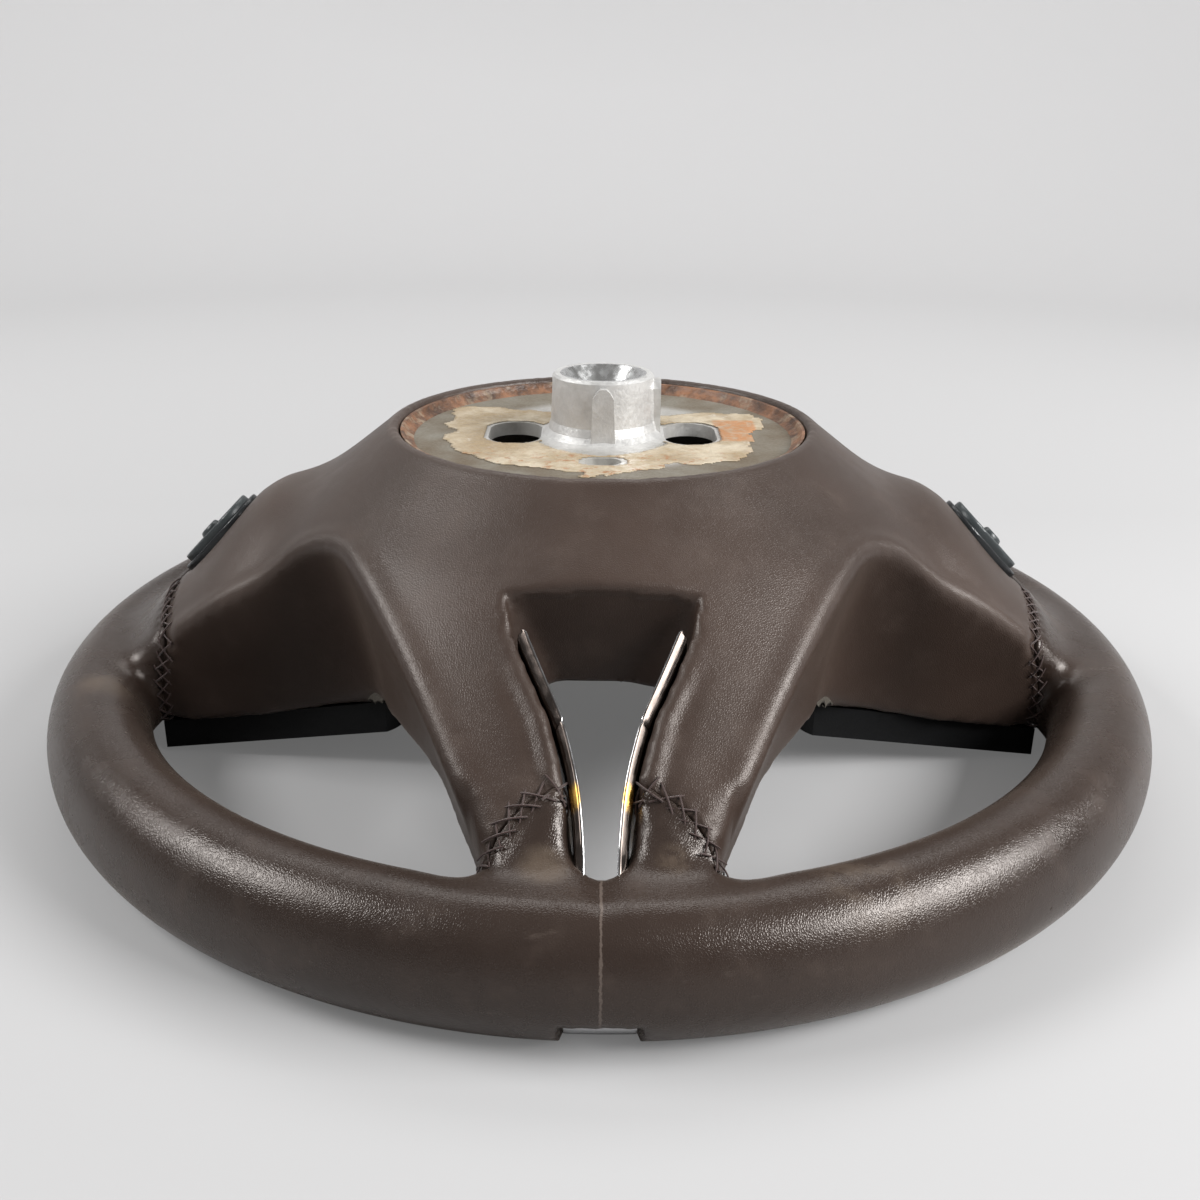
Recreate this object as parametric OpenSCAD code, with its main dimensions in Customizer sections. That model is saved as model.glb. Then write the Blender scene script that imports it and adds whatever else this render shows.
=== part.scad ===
// Car steering wheel with four spokes, laid on the front of its rim, column side up.
// Origin: on the steering axis, in the plane of the rim's front. Six o'clock is -Y.

/* [Rim] */
// Outside diameter of the rim
rim_d = 380; // [370:1:392]
// Width of the rim's oval section, across the leather
rim_w = 32.6; // [30:0.2:35]
// Depth of the rim's oval section, across the leather
rim_h = 38.8; // [37:0.2:40]
// Thickness of the leather on rim, hub and spokes
leather_t = 1.4; // [1.0:0.1:1.8]
// Width of the notch across the rim's front at six o'clock
notch_w = 19.5; // [15:0.5:24]
// Depth of that notch below the leather's surface
notch_depth = 3.4; // [2.8:0.1:4]

/* [Hub and spokes] */
// Radius of the leather's opening round the hub plate
lip_r = 69.2; // [67:0.1:71]
// Height of the leather's lip above the rim's front plane
lip_z = 113; // [111:0.5:115]
// Height of the hub plate's rear face
plate_z = 107.5; // [106.5:0.5:108.5]
// Radius of the hub's shoulder, where the windows begin
hub_r = 102; // [100:0.5:104]
// Height of the shoulder
hub_z = 90; // [88:0.5:92]
// Drop of the lower spokes for each millimetre outward
spoke_drop = 0.833; // [0.8:0.005:0.86]
// Height of the swelling behind each side spoke, where the thumb lies
swell = 10; // [6:0.5:12]
// Half width of a side spoke at the hub, on the lower side
side_low = 56; // [52:1:58]
// Half width of a side spoke at the hub, on the upper side
side_up = 50; // [46:1:54]
// Half width of the lower spokes together at the rim
foot_w = 29; // [27:0.5:31]
// Radius of the moulded edges of hub and spokes
edge_r = 6; // [4:0.5:7]

/* [Keystone gap] */
// Half width of the gap at its top, between the strips' outer faces
gap_top = 27; // [25:0.5:29]
// Half width of the gap at the rim
gap_foot = 6.7; // [6:0.1:8]
// Thickness of the polished strips
strip_t = 2.6; // [2:0.1:3]
// Height of the polished strips along the axis
strip_h = 15; // [10:0.5:18]

/* [Armature] */
// Radius of the boss at its top
boss_r = 17.2; // [16.6:0.1:18]
// Height of the boss above the rim's front plane
boss_z = 128.7; // [126:0.1:131]
// Thickness of the hub plate and the arms' web
web_t = 4.5; // [3.5:0.1:5]
// Depth of the ribs along the arms
arm_rib = 11; // [8:0.5:12]
// Outer radius of the steel bush
bush_r = 14.6; // [14:0.1:15]
// Radius of the bush's plain pilot bore
pilot_r = 9.4; // [9.2:0.1:10]
// Length of the pilot bore
pilot_len = 8; // [6:0.5:10]
// Number of serrations in the bush
teeth = 40; // [30:1:48]
// Radius of the centre bolt's hole
bolt_r = 7.5; // [7:0.1:8]

/* [Front housings] */
// Thickness of the housings' walls
shell_t = 2.2; // [1.8:0.1:2.6]
// Height of the housings' front at the rim end
front_z = 1.6; // [1.2:0.1:2.5]
// Diameter of the round thumb pads
pad_d = 25; // [22:0.5:27]
// Length of the small keys
key_l = 19; // [16:0.5:20]
// Width of the small keys
key_w = 11; // [9:0.5:12]
// Gap round a key in its window
key_gap = 0.4; // [0.3:0.05:0.5]
// Travel of the small keys
key_travel = 0.8; // [0.5:0.1:1]

/* [Shift rockers] */
// Length of a shift rocker down the slope of the spoke
rocker_l = 31; // [28:0.5:33]
// Width of a shift rocker
rocker_w = 20; // [18:0.5:22]
// Radius of the pivot pins
pin_r = 1.2; // [1:0.05:1.5]
// Running clearance round the pivot pins
pin_gap = 0.05; // [0.03:0.01:0.08]

/* [Hidden] */

// Small clearances between pieces that only touch
fit = 0.3;
// Length added to a cut so that it runs past a face
past = 1;
// Facets round the cuts and revolved tools of the moulded shell
moulded_fn = 72;

rim_a = rim_w / 2;
rim_b = rim_h / 2;
rim_c = rim_d / 2 - rim_a;

leather_colour = [0.27, 0.22, 0.20];
alloy_colour = [0.62, 0.62, 0.60];
black_colour = [0.07, 0.07, 0.075];

// The rear shell's shape

// Height of the leather's rear surface round the hub: a dome, then a straight cone
dome = [[0, lip_z + 6], [lip_r + 2, lip_z], [hub_r * 0.77, hub_z + 17.3], [hub_r * 0.88, hub_z + 8.5],
    [hub_r, hub_z], [rim_d / 2, hub_z - (rim_d / 2 - hub_r) * spoke_drop]];

function ramp(a, b, v) = let (t = min(1, max(0, (v - a) / (b - a)))) t * t * (3 - 2 * t);

// Rise of the side spokes over the cone: a hump for the thumb, then a low shelf to the rim
hump_x = hub_r + 20;
hump_w = 15;
shelf = 5;
ridge_fall = 5;
function side_weight(x, y) = ramp(hub_r - 8, hub_r + 12, abs(x)) * ramp(-95, -55, y);
function hump(x) = shelf + (swell - shelf) * exp(-pow((abs(x) - hump_x) / hump_w, 2));
function side_rise(x, y) = side_weight(x, y)
    * ((hump(x) + ridge_fall) * (1 - pow(y / side_up, 2)) - ridge_fall);

// Under the hump's outer foot the shelf gives way to the rim's back
function rear_z(x, y) = lookup(norm([x, y]), dome) + side_rise(x, y);

// Front edge of the leather: two tilted planes under the side spokes, an arch under the lower ones
front_mid = 38.75;
front_slope = 0.176;
function side_front(x) = front_mid - front_slope * abs(x);
// Heights of the arch over the distance from the axis towards six o'clock
arch = [[42, 24], [60, 35], [hub_r - 12, 40], [hub_r + 9, 40], [hub_r + 22, 37], [hub_r + 30, 30],
    [hub_r + 35, 26], [rim_c - 16.7, 12], [rim_c + 1.3, 9]];
arch_w = 90;
function front_edge(p) = p[1] > -side_low - 1 ? side_front(p[0]) : lookup(-p[1], arch);

// Plan outline of hub and spokes, right half from twelve to six o'clock
end_r = rim_c - 10.7;
end_up = 37;
end_low = 40;
corner_r = 16;
shoulder_up = [sqrt(pow(hub_r, 2) - pow(side_up, 2)), side_up];
shoulder_low = [hub_r - 16, -side_low];
function on_circle(r, y) = [sqrt(r * r - y * y), y];
function on_foot(r, x) = [x, -sqrt(r * r - x * x)];

// Points along a straight edge, denser near the shoulder
function edge_points(p, q, n) = [for (i = [1:n]) p + (q - p) * i / (n + 1)];
// Points round a corner that lies between two straight edges
function bend(a, p, b, r, n) = let (s = p + (a - p) / norm(a - p) * r, e = p + (b - p) / norm(b - p) * r)
    [for (i = [0:n]) let (t = i / n) (1 - t) * (1 - t) * s + 2 * t * (1 - t) * p + t * t * e];
// Points along an arc about the axis, between two angles
function arc_points(r, from, to, n) = [for (i = [0:n]) let (t = from + (to - from) * i / n)
    [r * cos(t), r * sin(t)]];

up_angle = atan2(side_up, shoulder_up[0]);
arc_end = [hub_r * cos(up_angle + 9), hub_r * sin(up_angle + 9)];
side_up_end = on_circle(end_r, end_up);
side_low_end = on_circle(end_r, -end_low);
foot_end = on_foot(end_r, foot_w - 1);

half_plan = concat(
    arc_points(hub_r, 90, up_angle + 12, 9),
    bend(arc_end, shoulder_up, side_up_end, 14, 4),
    edge_points(shoulder_up + (side_up_end - shoulder_up) * 0.25, side_up_end, 3),
    arc_points(end_r, atan2(end_up, side_up_end[0]), atan2(-end_low, side_low_end[0]), 6),
    edge_points(side_low_end, shoulder_low + (side_low_end - shoulder_low) * 0.25, 4),
    bend(side_low_end, shoulder_low, foot_end, corner_r, 5),
    edge_points(shoulder_low + (foot_end - shoulder_low) * 0.16, foot_end, 9),
    arc_points(end_r, atan2(foot_end[1], foot_end[0]), -90, 3));

// The left half mirrors the right one, without the two points on the centre line
plan = concat(half_plan, [for (i = [len(half_plan) - 2:-1:1]) [-half_plan[i][0], half_plan[i][1]]]);
plan_n = len(plan);

function inward(i) = let (a = plan[(i + plan_n - 1) % plan_n], b = plan[(i + 1) % plan_n], d = b - a)
    [d[1], -d[0]] / norm(d);
inward_at = [for (i = [0:plan_n - 1]) inward(i)];

// How far the side walls lean in towards the front: most in the windows' corners, not at all in the rim
top_lean = 4;
low_lean = 6;
corner_lean = 8;
corner_reach = 22;
function lean(p) = norm(p) > end_r - 1 ? 0 : p[1] > side_up - 4 ? top_lean
    : low_lean + corner_lean * exp(-pow(norm([abs(p[0]), p[1]] - shoulder_low) / corner_reach, 2));

function raised(q, z) = [q[0], q[1], z];

// One ring of the shell: its points in plan, drawn in by a distance, at the height that a rule gives
function lip_ring(r, z) = [for (p = plan) raised(p / norm(p) * r, z)];
function rear_ring(share, inset) = [for (i = [0:plan_n - 1])
    let (u = plan[i] / norm(plan[i]) * (lip_r + 5), q = plan[i] + inward_at[i] * (edge_r + inset),
        s = u + (q - u) * share)
    raised(s, rear_z(s[0], s[1]) - inset)];
function edge_ring(a, inset) = [for (i = [0:plan_n - 1])
    let (q = plan[i] + inward_at[i] * (edge_r + inset), s = plan[i] + inward_at[i] * (inset + edge_r * (1 - sin(a))))
    raised(s, rear_z(q[0], q[1]) - inset - edge_r * (1 - cos(a)))];
function wall_ring(share, inset, below) = [for (i = [0:plan_n - 1])
    let (q = plan[i] + inward_at[i] * (edge_r + inset), top = rear_z(q[0], q[1]) - inset - edge_r,
        s = plan[i] + inward_at[i] * (inset + lean(plan[i]) * (share + 0.6 * share * (1 - share))),
        low = front_edge(plan[i]))
    raised(s, top + (low - top) * share - below)];

rear_shares = [0.33, 0.67, 1];
edge_angles = [30, 60, 90];
wall_shares = [0.5, 1];
// How far the walls run past the front before they are cut there
skirt = 14;

// The whole rear shell as a loft from the lip outwards and down, with its surface moved in by a distance
module spoke_loft(inset) {
    // The outer body starts inside the opening, so that cutting the opening gives it its clean wall
    inner_r = inset > 0 ? lip_r + inset : lip_r - 1;
    floor_z = plate_z + (inset > 0 ? fit : 0);
    rings = concat(
        [lip_ring(inner_r, floor_z), lip_ring(inner_r, lip_z - 1.6 - inset),
            lip_ring(lip_r + 1.2 + inset, lip_z - inset), lip_ring(lip_r + 5, rear_z(lip_r + 5, 0) - inset)],
        [for (s = rear_shares) rear_ring(s, inset)],
        [for (a = edge_angles) edge_ring(a, inset)],
        [for (s = wall_shares) wall_ring(s, inset, 0)],
        [wall_ring(1, inset, skirt)]);
    ring_n = len(rings);
    body = [for (k = [0:ring_n - 1]) for (i = [0:plan_n - 1]) rings[k][i]];
    top_mid = len(body);
    points = concat(body, [[0, 0, floor_z], [0, 0, -skirt]]);
    sides = [for (k = [0:ring_n - 2]) for (i = [0:plan_n - 1])
        let (a = k * plan_n + i, b = k * plan_n + (i + 1) % plan_n, c = b + plan_n, d = a + plan_n)
        each [[a, c, b], [a, d, c]]];
    top = [for (i = [0:plan_n - 1]) [top_mid, i, (i + 1) % plan_n]];
    last = (ring_n - 1) * plan_n;
    bottom = [for (i = [0:plan_n - 1]) [top_mid + 1, last + (i + 1) % plan_n, last + i]];
    polyhedron(points = points, faces = concat(sides, top, bottom));
}

// What is cut away in front of the shell's front edge
module front_cut() {
    deep = -2 * skirt;
    reach = rim_d / 2;
    rotate([90, 0, 0])
        translate([0, 0, -reach])
            linear_extrude(reach + side_low + 4)
                polygon([[-reach, deep], [reach, deep], [reach, side_front(reach)], [0, front_mid],
                    [-reach, side_front(reach)]]);
    rotate([90, 0, 90])
        translate([0, 0, -arch_w])
            linear_extrude(2 * arch_w)
                polygon(concat([[-arch[0][0], deep]], [for (p = arch) [-p[0], p[1]]],
                    [[-reach, arch[len(arch) - 1][1]], [-reach, deep]]));
}

module spoke_body(inset) {
    difference() {
        spoke_loft(inset);
        front_cut();
    }
}

// The keystone gap, from its top behind the hub to the rim

gap_start = hub_r - 1.5;
gap_end = rim_c - 9.7;
gap_shares = [0, 0.087, 0.165, 0.323, 0.48, 0.638, 0.748, 0.874, 1];
gap_y = [for (s = gap_shares) -gap_start - (gap_end - gap_start) * s];
gap_x = [gap_top, gap_top - 1.5, gap_top - 3.7, gap_top - 9, gap_top - 14.5, gap_foot + 2.5, gap_foot + 1,
    gap_foot + 0.2, gap_foot];
gap_last = len(gap_y) - 1;
// Height of the leather's rear face along the gap
function gap_z(y) = lookup(norm([gap_foot, y]), dome);

wall_low = 60;
module gap_cut(grow) {
    for (i = [0:gap_last - 1])
        hull()
            for (k = [i, i + 1], s = [-1, 1])
                translate([s * (gap_x[k] + grow - past), gap_y[k] + (k == 0 ? grow : 0), -past])
                    cylinder(r = past, h = lip_z, $fn = 12);
    translate([-gap_top + past, -hub_r - 2, -past]) cube([2 * gap_top - 2 * past, 24 + grow, wall_low + past + grow]);
}

// The rim's section and what is cut from the shell to seat it

function oval(a, b, n) = [for (i = [0:n - 1]) let (t = 360 * i / n) [a * cos(t), b * sin(t)]];

module rim_body(inset, n) {
    rotate_extrude($fn = n)
        translate([rim_c, rim_b])
            polygon(oval(rim_a - inset, rim_b - inset, 40));
}

// Seat of the shell on the rim: the rim's section with its clearance, in coarser steps
module rim_seat() {
    rotate([0, 0, 0.9])
        rotate_extrude($fn = 120)
            translate([rim_c, rim_b])
                polygon(oval(rim_a + fit, rim_b + fit, 32));
}

// A band across the rim's front at six o'clock, between two depths below the leather
notch_top = 12;
module front_band(width, from, to) {
    intersection() {
        difference() {
            rim_body(from, 180);
            rim_body(to, 180);
        }
        translate([-width / 2, -rim_d / 2 - past, -past])
            cube([width, rim_w + past + 4, notch_top + past]);
    }
}

module rim_leather() {
    color(leather_colour)
        difference() {
            rim_body(0, 180);
            rim_body(leather_t, 180);
            front_band(notch_w, -past, notch_depth);
            arm_passage(180);
        }
}

core_w = 14;
core_h = 13;
core_wall = 3.5;
module core_section(grow) {
    square([core_w + 2 * grow, core_h + 2 * grow], center = true);
}

module rim_foam() {
    color([0.12, 0.12, 0.12])
        difference() {
            rim_body(leather_t, 180);
            rotate_extrude($fn = 180)
                translate([rim_c, rim_b])
                    core_section(0);
            front_band(notch_w, -past, notch_depth);
            arm_passage(180);
        }
}

// The armature

skin_gap = 6;
// Rear face of the dished web: flat inside the lip, then parallel to the leather's dome and cone
dish = [[0, plate_z], [lip_r + 1, plate_z], [hub_r * 0.77, hub_z + 17.3 - skin_gap],
    [hub_r * 0.88, hub_z + 8.5 - skin_gap], [hub_r, hub_z - skin_gap],
    [rim_c, hub_z - skin_gap - (rim_c - hub_r) * 0.857]];
skirt_r = hub_r - 15;

function lowered(list, by) = [for (i = [len(list) - 1:-1:0]) [list[i][0], list[i][1] - by]];
module dish_band(thick) {
    rotate_extrude($fn = 180)
        polygon(concat(dish, lowered(dish, thick)));
}

// Room for the arms through the foam and the rim's inner side, with clearance on all faces
passage = [for (p = dish) if (p[0] > lip_r + 2) p];
module arm_passage(n) {
    intersection() {
        rotate_extrude($fn = n)
            polygon(concat([for (p = passage) [p[0], p[1] + fit]], lowered(passage, arm_rib + fit)));
        arm_plan_solid(fit, boss_z);
    }
}

// Plan of the right side arm as half widths, and of the right lower arm as its two edges
arm_root = hub_r - 24;
arm_half = [19, 11];
arm_low_in = [[36, -72], [12, -rim_c + 1]];
arm_low_out = [[20, -rim_c + 1], [24, -rim_c + 31.7], [54, -64]];
function shifted(list, by) = [for (p = list) [p[0] + by, p[1]]];

module arm_plan(grow) {
    for (s = [0, 1])
        mirror([s, 0]) {
            polygon([[arm_root, arm_half[0] + grow], [rim_c, arm_half[1] + grow],
                [rim_c, -arm_half[1] - grow], [arm_root, -arm_half[0] - grow]]);
            polygon(concat(shifted(arm_low_in, -grow), shifted(arm_low_out, grow)));
        }
}

module arm_plan_solid(grow, h) {
    linear_extrude(h)
        arm_plan(grow);
}

rib_w = 3;
function reversed(list) = [for (i = [len(list) - 1:-1:0]) list[i]];
module arm_borders() {
    for (s = [0, 1])
        mirror([s, 0]) {
            for (t = [-1, 1])
                polygon([[arm_root, t * arm_half[0]], [rim_c, t * arm_half[1]],
                    [rim_c, t * (arm_half[1] - rib_w)], [arm_root, t * (arm_half[0] - rib_w)]]);
            polygon(concat(arm_low_in, reversed(shifted(arm_low_in, rib_w))));
            polygon(concat(arm_low_out, reversed(shifted(arm_low_out, -rib_w))));
        }
}

post_r = 4.5;
post_at = [[hub_r, 12], [rim_c - 35.7, -9]];
screw_r = 1.6;

slot_x = 30;
slot_w = 18;
slot_l = 29;
pocket_y = 36;
pocket_r = 4;
pocket_l = 12;
fin_w = 8.4;
fin_out = 2.4;
fin_turns = [-90, 0, 90];
bush_len = 33;
serration_r = 8.9;
tooth_h = 0.6;

module fin() {
    translate([boss_r - 1, 0, 0])
        rotate([90, 0, 90])
            linear_extrude(fin_out + 1)
                polygon([[-fin_w / 2, plate_z - past], [fin_w / 2, plate_z - past],
                    [fin_w / 2 - 0.8, boss_z - 4.9], [fin_w / 2 - 2, boss_z - 2.9], [1, boss_z - 1.8],
                    [-1, boss_z - 1.8], [-fin_w / 2 + 2, boss_z - 2.9], [-fin_w / 2 + 0.8, boss_z - 4.9]]);
}

module slot(length, width, depth) {
    linear_extrude(depth)
        for (s = [-1, 1]) {
            translate([0, s * (length - width) / 2]) circle(d = width, $fn = 48);
            translate([-width / 2, s < 0 ? -(length - width) / 2 : 0]) square([width, (length - width) / 2]);
        }
}

// Floor of the boss, which the centre bolt's head draws against the bush
boss_floor = 5;
boss_low = boss_z - bush_len - boss_floor;
module armature() {
    color(alloy_colour)
        difference() {
            union() {
                intersection() {
                    dish_band(web_t);
                    linear_extrude(boss_z) {
                        circle(r = skirt_r, $fn = 180);
                        arm_plan(0);
                    }
                }
                intersection() {
                    dish_band(arm_rib);
                    linear_extrude(boss_z) arm_borders();
                }
                rotate_extrude($fn = 180)
                    translate([rim_c, rim_b])
                        core_section(0);
                translate([0, 0, boss_low]) cylinder(r = boss_r + 4, h = plate_z - boss_low, $fn = 96);
                rotate_extrude($fn = 96)
                    polygon([[0, plate_z - past], [boss_r + 6, plate_z - past], [boss_r + 6, plate_z],
                        [boss_r + 3.4, plate_z + 0.8], [boss_r + 1.5, plate_z + 2.6], [boss_r + 0.6, plate_z + 5.5],
                        [boss_r, boss_z - 0.8], [boss_r - 0.8, boss_z], [0, boss_z]]);
                for (a = fin_turns) rotate([0, 0, a]) fin();
                for (s = [0, 1], p = post_at) mirror([s, 0, 0]) armature_post(p);
            }
            translate([0, 0, boss_z - bush_len]) cylinder(r = bush_r, h = bush_len + past, $fn = 96);
            translate([0, 0, boss_low - past]) cylinder(r = bolt_r, h = boss_floor + 2 * past, $fn = 64);
            for (s = [-1, 1])
                translate([s * slot_x, 0, plate_z - web_t - past]) slot(slot_l, slot_w, web_t + 2 * past);
            translate([0, -pocket_y, plate_z - 2.5]) rotate([0, 0, 90]) slot(pocket_l, 2 * pocket_r, 2.5 + past);
        }
}

// Posts under the side arms, into which the housings are screwed
post_bore = 12;
function post_top(p) = lookup(norm(p), dish) - web_t + 0.5;
module armature_post(p) {
    low = side_front(p[0]) + fit;
    translate([p[0], p[1], low]) difference() {
        cylinder(r = post_r, h = post_top(p) - low, $fn = 32);
        translate([0, 0, -past]) cylinder(r = screw_r, h = post_bore + past, $fn = 32);
    }
}

module spline_bush() {
    low = boss_z - bush_len;
    mouth_r = bush_r - 1;
    cone_h = 5;
    serration_top = boss_z - cone_h - pilot_len;
    color([0.78, 0.79, 0.80])
        difference() {
            translate([0, 0, low]) cylinder(r = bush_r, h = bush_len, $fn = 96);
            translate([0, 0, boss_z - cone_h]) cylinder(r1 = pilot_r, r2 = mouth_r, h = cone_h, $fn = 96);
            translate([0, 0, boss_z - cone_h]) mirror([0, 0, 1]) cylinder(r = pilot_r, h = pilot_len, $fn = 96);
            translate([0, 0, boss_z]) cylinder(r = mouth_r, h = past, $fn = 96);
            translate([0, 0, low - past]) cylinder(r = serration_r - tooth_h, h = bush_len - past, $fn = 96);
            translate([0, 0, low - past])
                linear_extrude(serration_top - low + past)
                    polygon([for (i = [0:teeth - 1]) for (k = [0, 1, 2, 3])
                        let (t = 360 / teeth * (i + [0, 0.15, 0.5, 0.65][k]),
                            r = serration_r - (k < 2 ? 0 : tooth_h * 1.2))
                        [r * cos(t), r * sin(t)]]);
        }
}

module adhesive_ring() {
    outer = lip_r - fit;
    color([0.45, 0.22, 0.10])
        rotate_extrude($fn = 180)
            polygon([[outer - 4.4, plate_z], [outer, plate_z], [outer, lip_z - 2.2], [outer - 1, lip_z - 2.4],
                [outer - 2, plate_z + 1.6], [outer - 3.6, plate_z + 0.5]]);
}

// The moulded foam and the leather over it

module hub_leather() {
    color(leather_colour)
        difference() {
            spoke_body(0);
            gap_cut(0);
            rim_seat();
            translate([0, 0, -past]) cylinder(r = lip_r, h = lip_z + 5, $fn = moulded_fn);
            rocker_recess(0);
            difference() {
                spoke_loft(leather_t);
                gap_cut(leather_t);
            }
        }
}

well_r = hub_r - 14;
module hub_foam() {
    color([0.12, 0.12, 0.12])
        difference() {
            spoke_body(leather_t);
            gap_cut(leather_t);
            rim_seat();
            translate([0, 0, -past]) cylinder(r = lip_r, h = lip_z + 5, $fn = moulded_fn);
            rotate_extrude($fn = moulded_fn)
                polygon([[0, -past], [well_r, -past], [well_r, lookup(well_r, dish) + fit],
                    [lip_r + 0.5, plate_z + fit + past], [0, plate_z + fit + past]]);
            arm_passage(moulded_fn);
            for (s = [0, 1], p = post_at)
                mirror([s, 0, 0]) translate([p[0], p[1], 0]) cylinder(r = post_r + fit, h = post_top(p), $fn = 24);
            rocker_recess(-fit);
        }
}

// Polished strips along the gap

function strip_outline(from, to) = concat(
    [for (i = [from:to]) [gap_x[i], gap_y[i]]],
    [for (i = [to:-1:from]) [gap_x[i] - strip_t, gap_y[i]]]);

strip_sunk = 1.5;
// Height of a strip's rear edge, a little below the leather
function strip_top(i) = gap_z(gap_y[i]) - strip_sunk;

// A strip between two points of the gap; its side view may carry a leg at the rim end
module strip(from, to, leg) {
    intersection() {
        linear_extrude(lip_z) polygon(strip_outline(from, to));
        rotate([90, 0, 90])
            linear_extrude(gap_top + past)
                polygon(concat(
                    [for (i = [from:to]) [gap_y[i], strip_top(i)]],
                    leg,
                    [for (i = [to:-1:from]) [gap_y[i], strip_top(i) - strip_h]]));
    }
}

chrome_colour = [0.80, 0.80, 0.82];
joint_at = 4;
module upper_trim_right() {
    color(chrome_colour) strip(2, joint_at, []);
}
module upper_trim_left() {
    mirror([1, 0, 0]) upper_trim_right();
}

tongue_t = 1.6;
// The fork's legs go down the rim's inner side and join the tongue in the rim's notch
module lower_trim() {
    heel = gap_y[gap_last - 1];
    heel_z = strip_top(gap_last - 1) - strip_h + 3;
    hook_top = notch_top - 0.2;
    hook_end = -rim_c + rim_a - notch_depth - 2.2;
    color(chrome_colour) {
        for (s = [0, 1])
            mirror([s, 0, 0]) {
                strip(joint_at, gap_last - 1, []);
                difference() {
                    translate([gap_foot - strip_t, 0, 0])
                        rotate([90, 0, 90])
                            linear_extrude(strip_t)
                                polygon([[heel + 5, heel_z], [heel, heel_z], [heel, hook_top], [hook_end, hook_top],
                                    [hook_end, hook_top - 2.8], [heel + 5, hook_top + 1]]);
                    rim_body(notch_depth - 0.02, 180);
                }
            }
        front_band(notch_w - 2 * fit, notch_depth - tongue_t, notch_depth - 0.02);
    }
}

// Black housings on the front of the side spokes, with their thumb controls

panel_in = hub_r - 35;
panel_out = rim_c - 21.7;
panel_low = 45;
panel_up = 43;
panel_taper = 0.141;
front_fall = 0.16;
face_tilt = atan(front_fall);
function face_z(x) = front_z + (panel_out - x) * front_fall;
function back_z(x) = side_front(x) - fit;
corner = 9;

module panel_plan(inset) {
    w = panel_out - panel_in - 2 * inset;
    intersection() {
        union() {
            translate([panel_in + inset, -panel_low + inset + corner])
                square([w, panel_low + panel_up - 2 * inset - 2 * corner]);
            translate([panel_in + inset + corner, -panel_low + inset])
                square([w - corner, panel_low + panel_up - 2 * inset]);
            for (y = [-panel_low + inset + corner, panel_up - inset - corner])
                translate([panel_in + inset + corner, y]) circle(r = corner, $fn = 48);
        }
        circle(r = rim_c - rim_a - 0.6 - inset, $fn = 180);
        polygon([[0, -panel_low - panel_in * panel_taper + inset],
            [200, -panel_low + (200 - panel_in) * panel_taper + inset],
            [200, panel_up - (200 - panel_in) * panel_taper - inset],
            [0, panel_up + panel_in * panel_taper - inset]]);
    }
}

// Slab between the tilted front plane and the foam's front
module panel_slab(front, back) {
    rotate([90, 0, 0])
        translate([0, 0, -80])
            linear_extrude(160)
                polygon([[60, face_z(60) + front], [170, face_z(170) + front],
                    [170, back_z(170) - back], [60, back_z(60) - back]]);
}

pad_at = [panel_out - 35, -3];
keys_at = [for (y = [12, -14]) [panel_in + 19, y]];
module on_face(p) {
    translate([p[0], p[1], face_z(p[0])])
        rotate([0, face_tilt, 0])
            children();
}

module key_outline(grow) {
    r = key_w / 2 - 1.5;
    for (s = [-1, 1])
        translate([s * (key_l / 2 - r - 1.5), 0]) circle(r = r + 1.5 + grow, $fn = 48);
    square([key_l - 2 * r - 3, key_w + 2 * grow], center = true);
}

pivot_depth = 5.2;
ear_w = 2.2;
module switch_panel_right() {
    color(black_colour)
        difference() {
            union() {
                difference() {
                    intersection() {
                        linear_extrude(60) panel_plan(0);
                        panel_slab(0, 0);
                    }
                    intersection() {
                        linear_extrude(60) panel_plan(shell_t);
                        panel_slab(shell_t, -5);
                    }
                }
                for (p = post_at)
                    intersection() {
                        translate([p[0], p[1], 0]) cylinder(r = post_r, h = 60, $fn = 48);
                        panel_slab(0, 0);
                    }
                on_face(pad_at) for (s = [-1, 1])
                    translate([-4, s * (pad_d / 2 + key_gap + 0.3) - (s < 0 ? ear_w : 0), shell_t - 0.4])
                        cube([8, ear_w, pivot_depth + 2.2 - shell_t]);
            }
            for (p = post_at)
                translate([p[0], p[1], -past]) {
                    cylinder(r = screw_r + 0.3, h = 60, $fn = 32);
                    cylinder(r = screw_head_r + 0.4, h = face_z(p[0]) + past + screw_sunk, $fn = 32);
                }
            on_face(pad_at) translate([0, 0, -past]) cylinder(d = pad_d + 2 * key_gap, h = shell_t + 2 * past, $fn = 96);
            on_face(pad_at) translate([0, -pad_d / 2 - 6, pivot_depth]) rotate([-90, 0, 0])
                cylinder(r = pin_r, h = pad_d + 12, $fn = 32);
            for (p = keys_at)
                on_face(p) translate([0, 0, -past]) linear_extrude(shell_t + 2 * past) key_outline(key_gap);
        }
}
module switch_panel_left() {
    mirror([1, 0, 0]) switch_panel_right();
}

// The thumb pad tips about its pin; the keys slide in along the housing's normal
proud = key_travel + 0.2;
module volume_pad() {
    color(black_colour)
        on_face(pad_at)
            difference() {
                union() {
                    translate([0, 0, -proud]) cylinder(d = pad_d, h = pivot_depth - 1.4 + proud, $fn = 96);
                    translate([-3, -pad_d / 2 + 1.5, 1]) cube([6, pad_d - 3, pivot_depth + 1.2]);
                }
                translate([0, 0, -proud - past]) cylinder(r1 = 5.4, r2 = 4.6, h = past + 0.8, $fn = 64);
                translate([0, -pad_d / 2 - 1, pivot_depth]) rotate([-90, 0, 0])
                    cylinder(r = pin_r + pin_gap, h = pad_d + 2, $fn = 32);
            }
}
module menu_pad() {
    mirror([1, 0, 0]) volume_pad();
}

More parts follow.
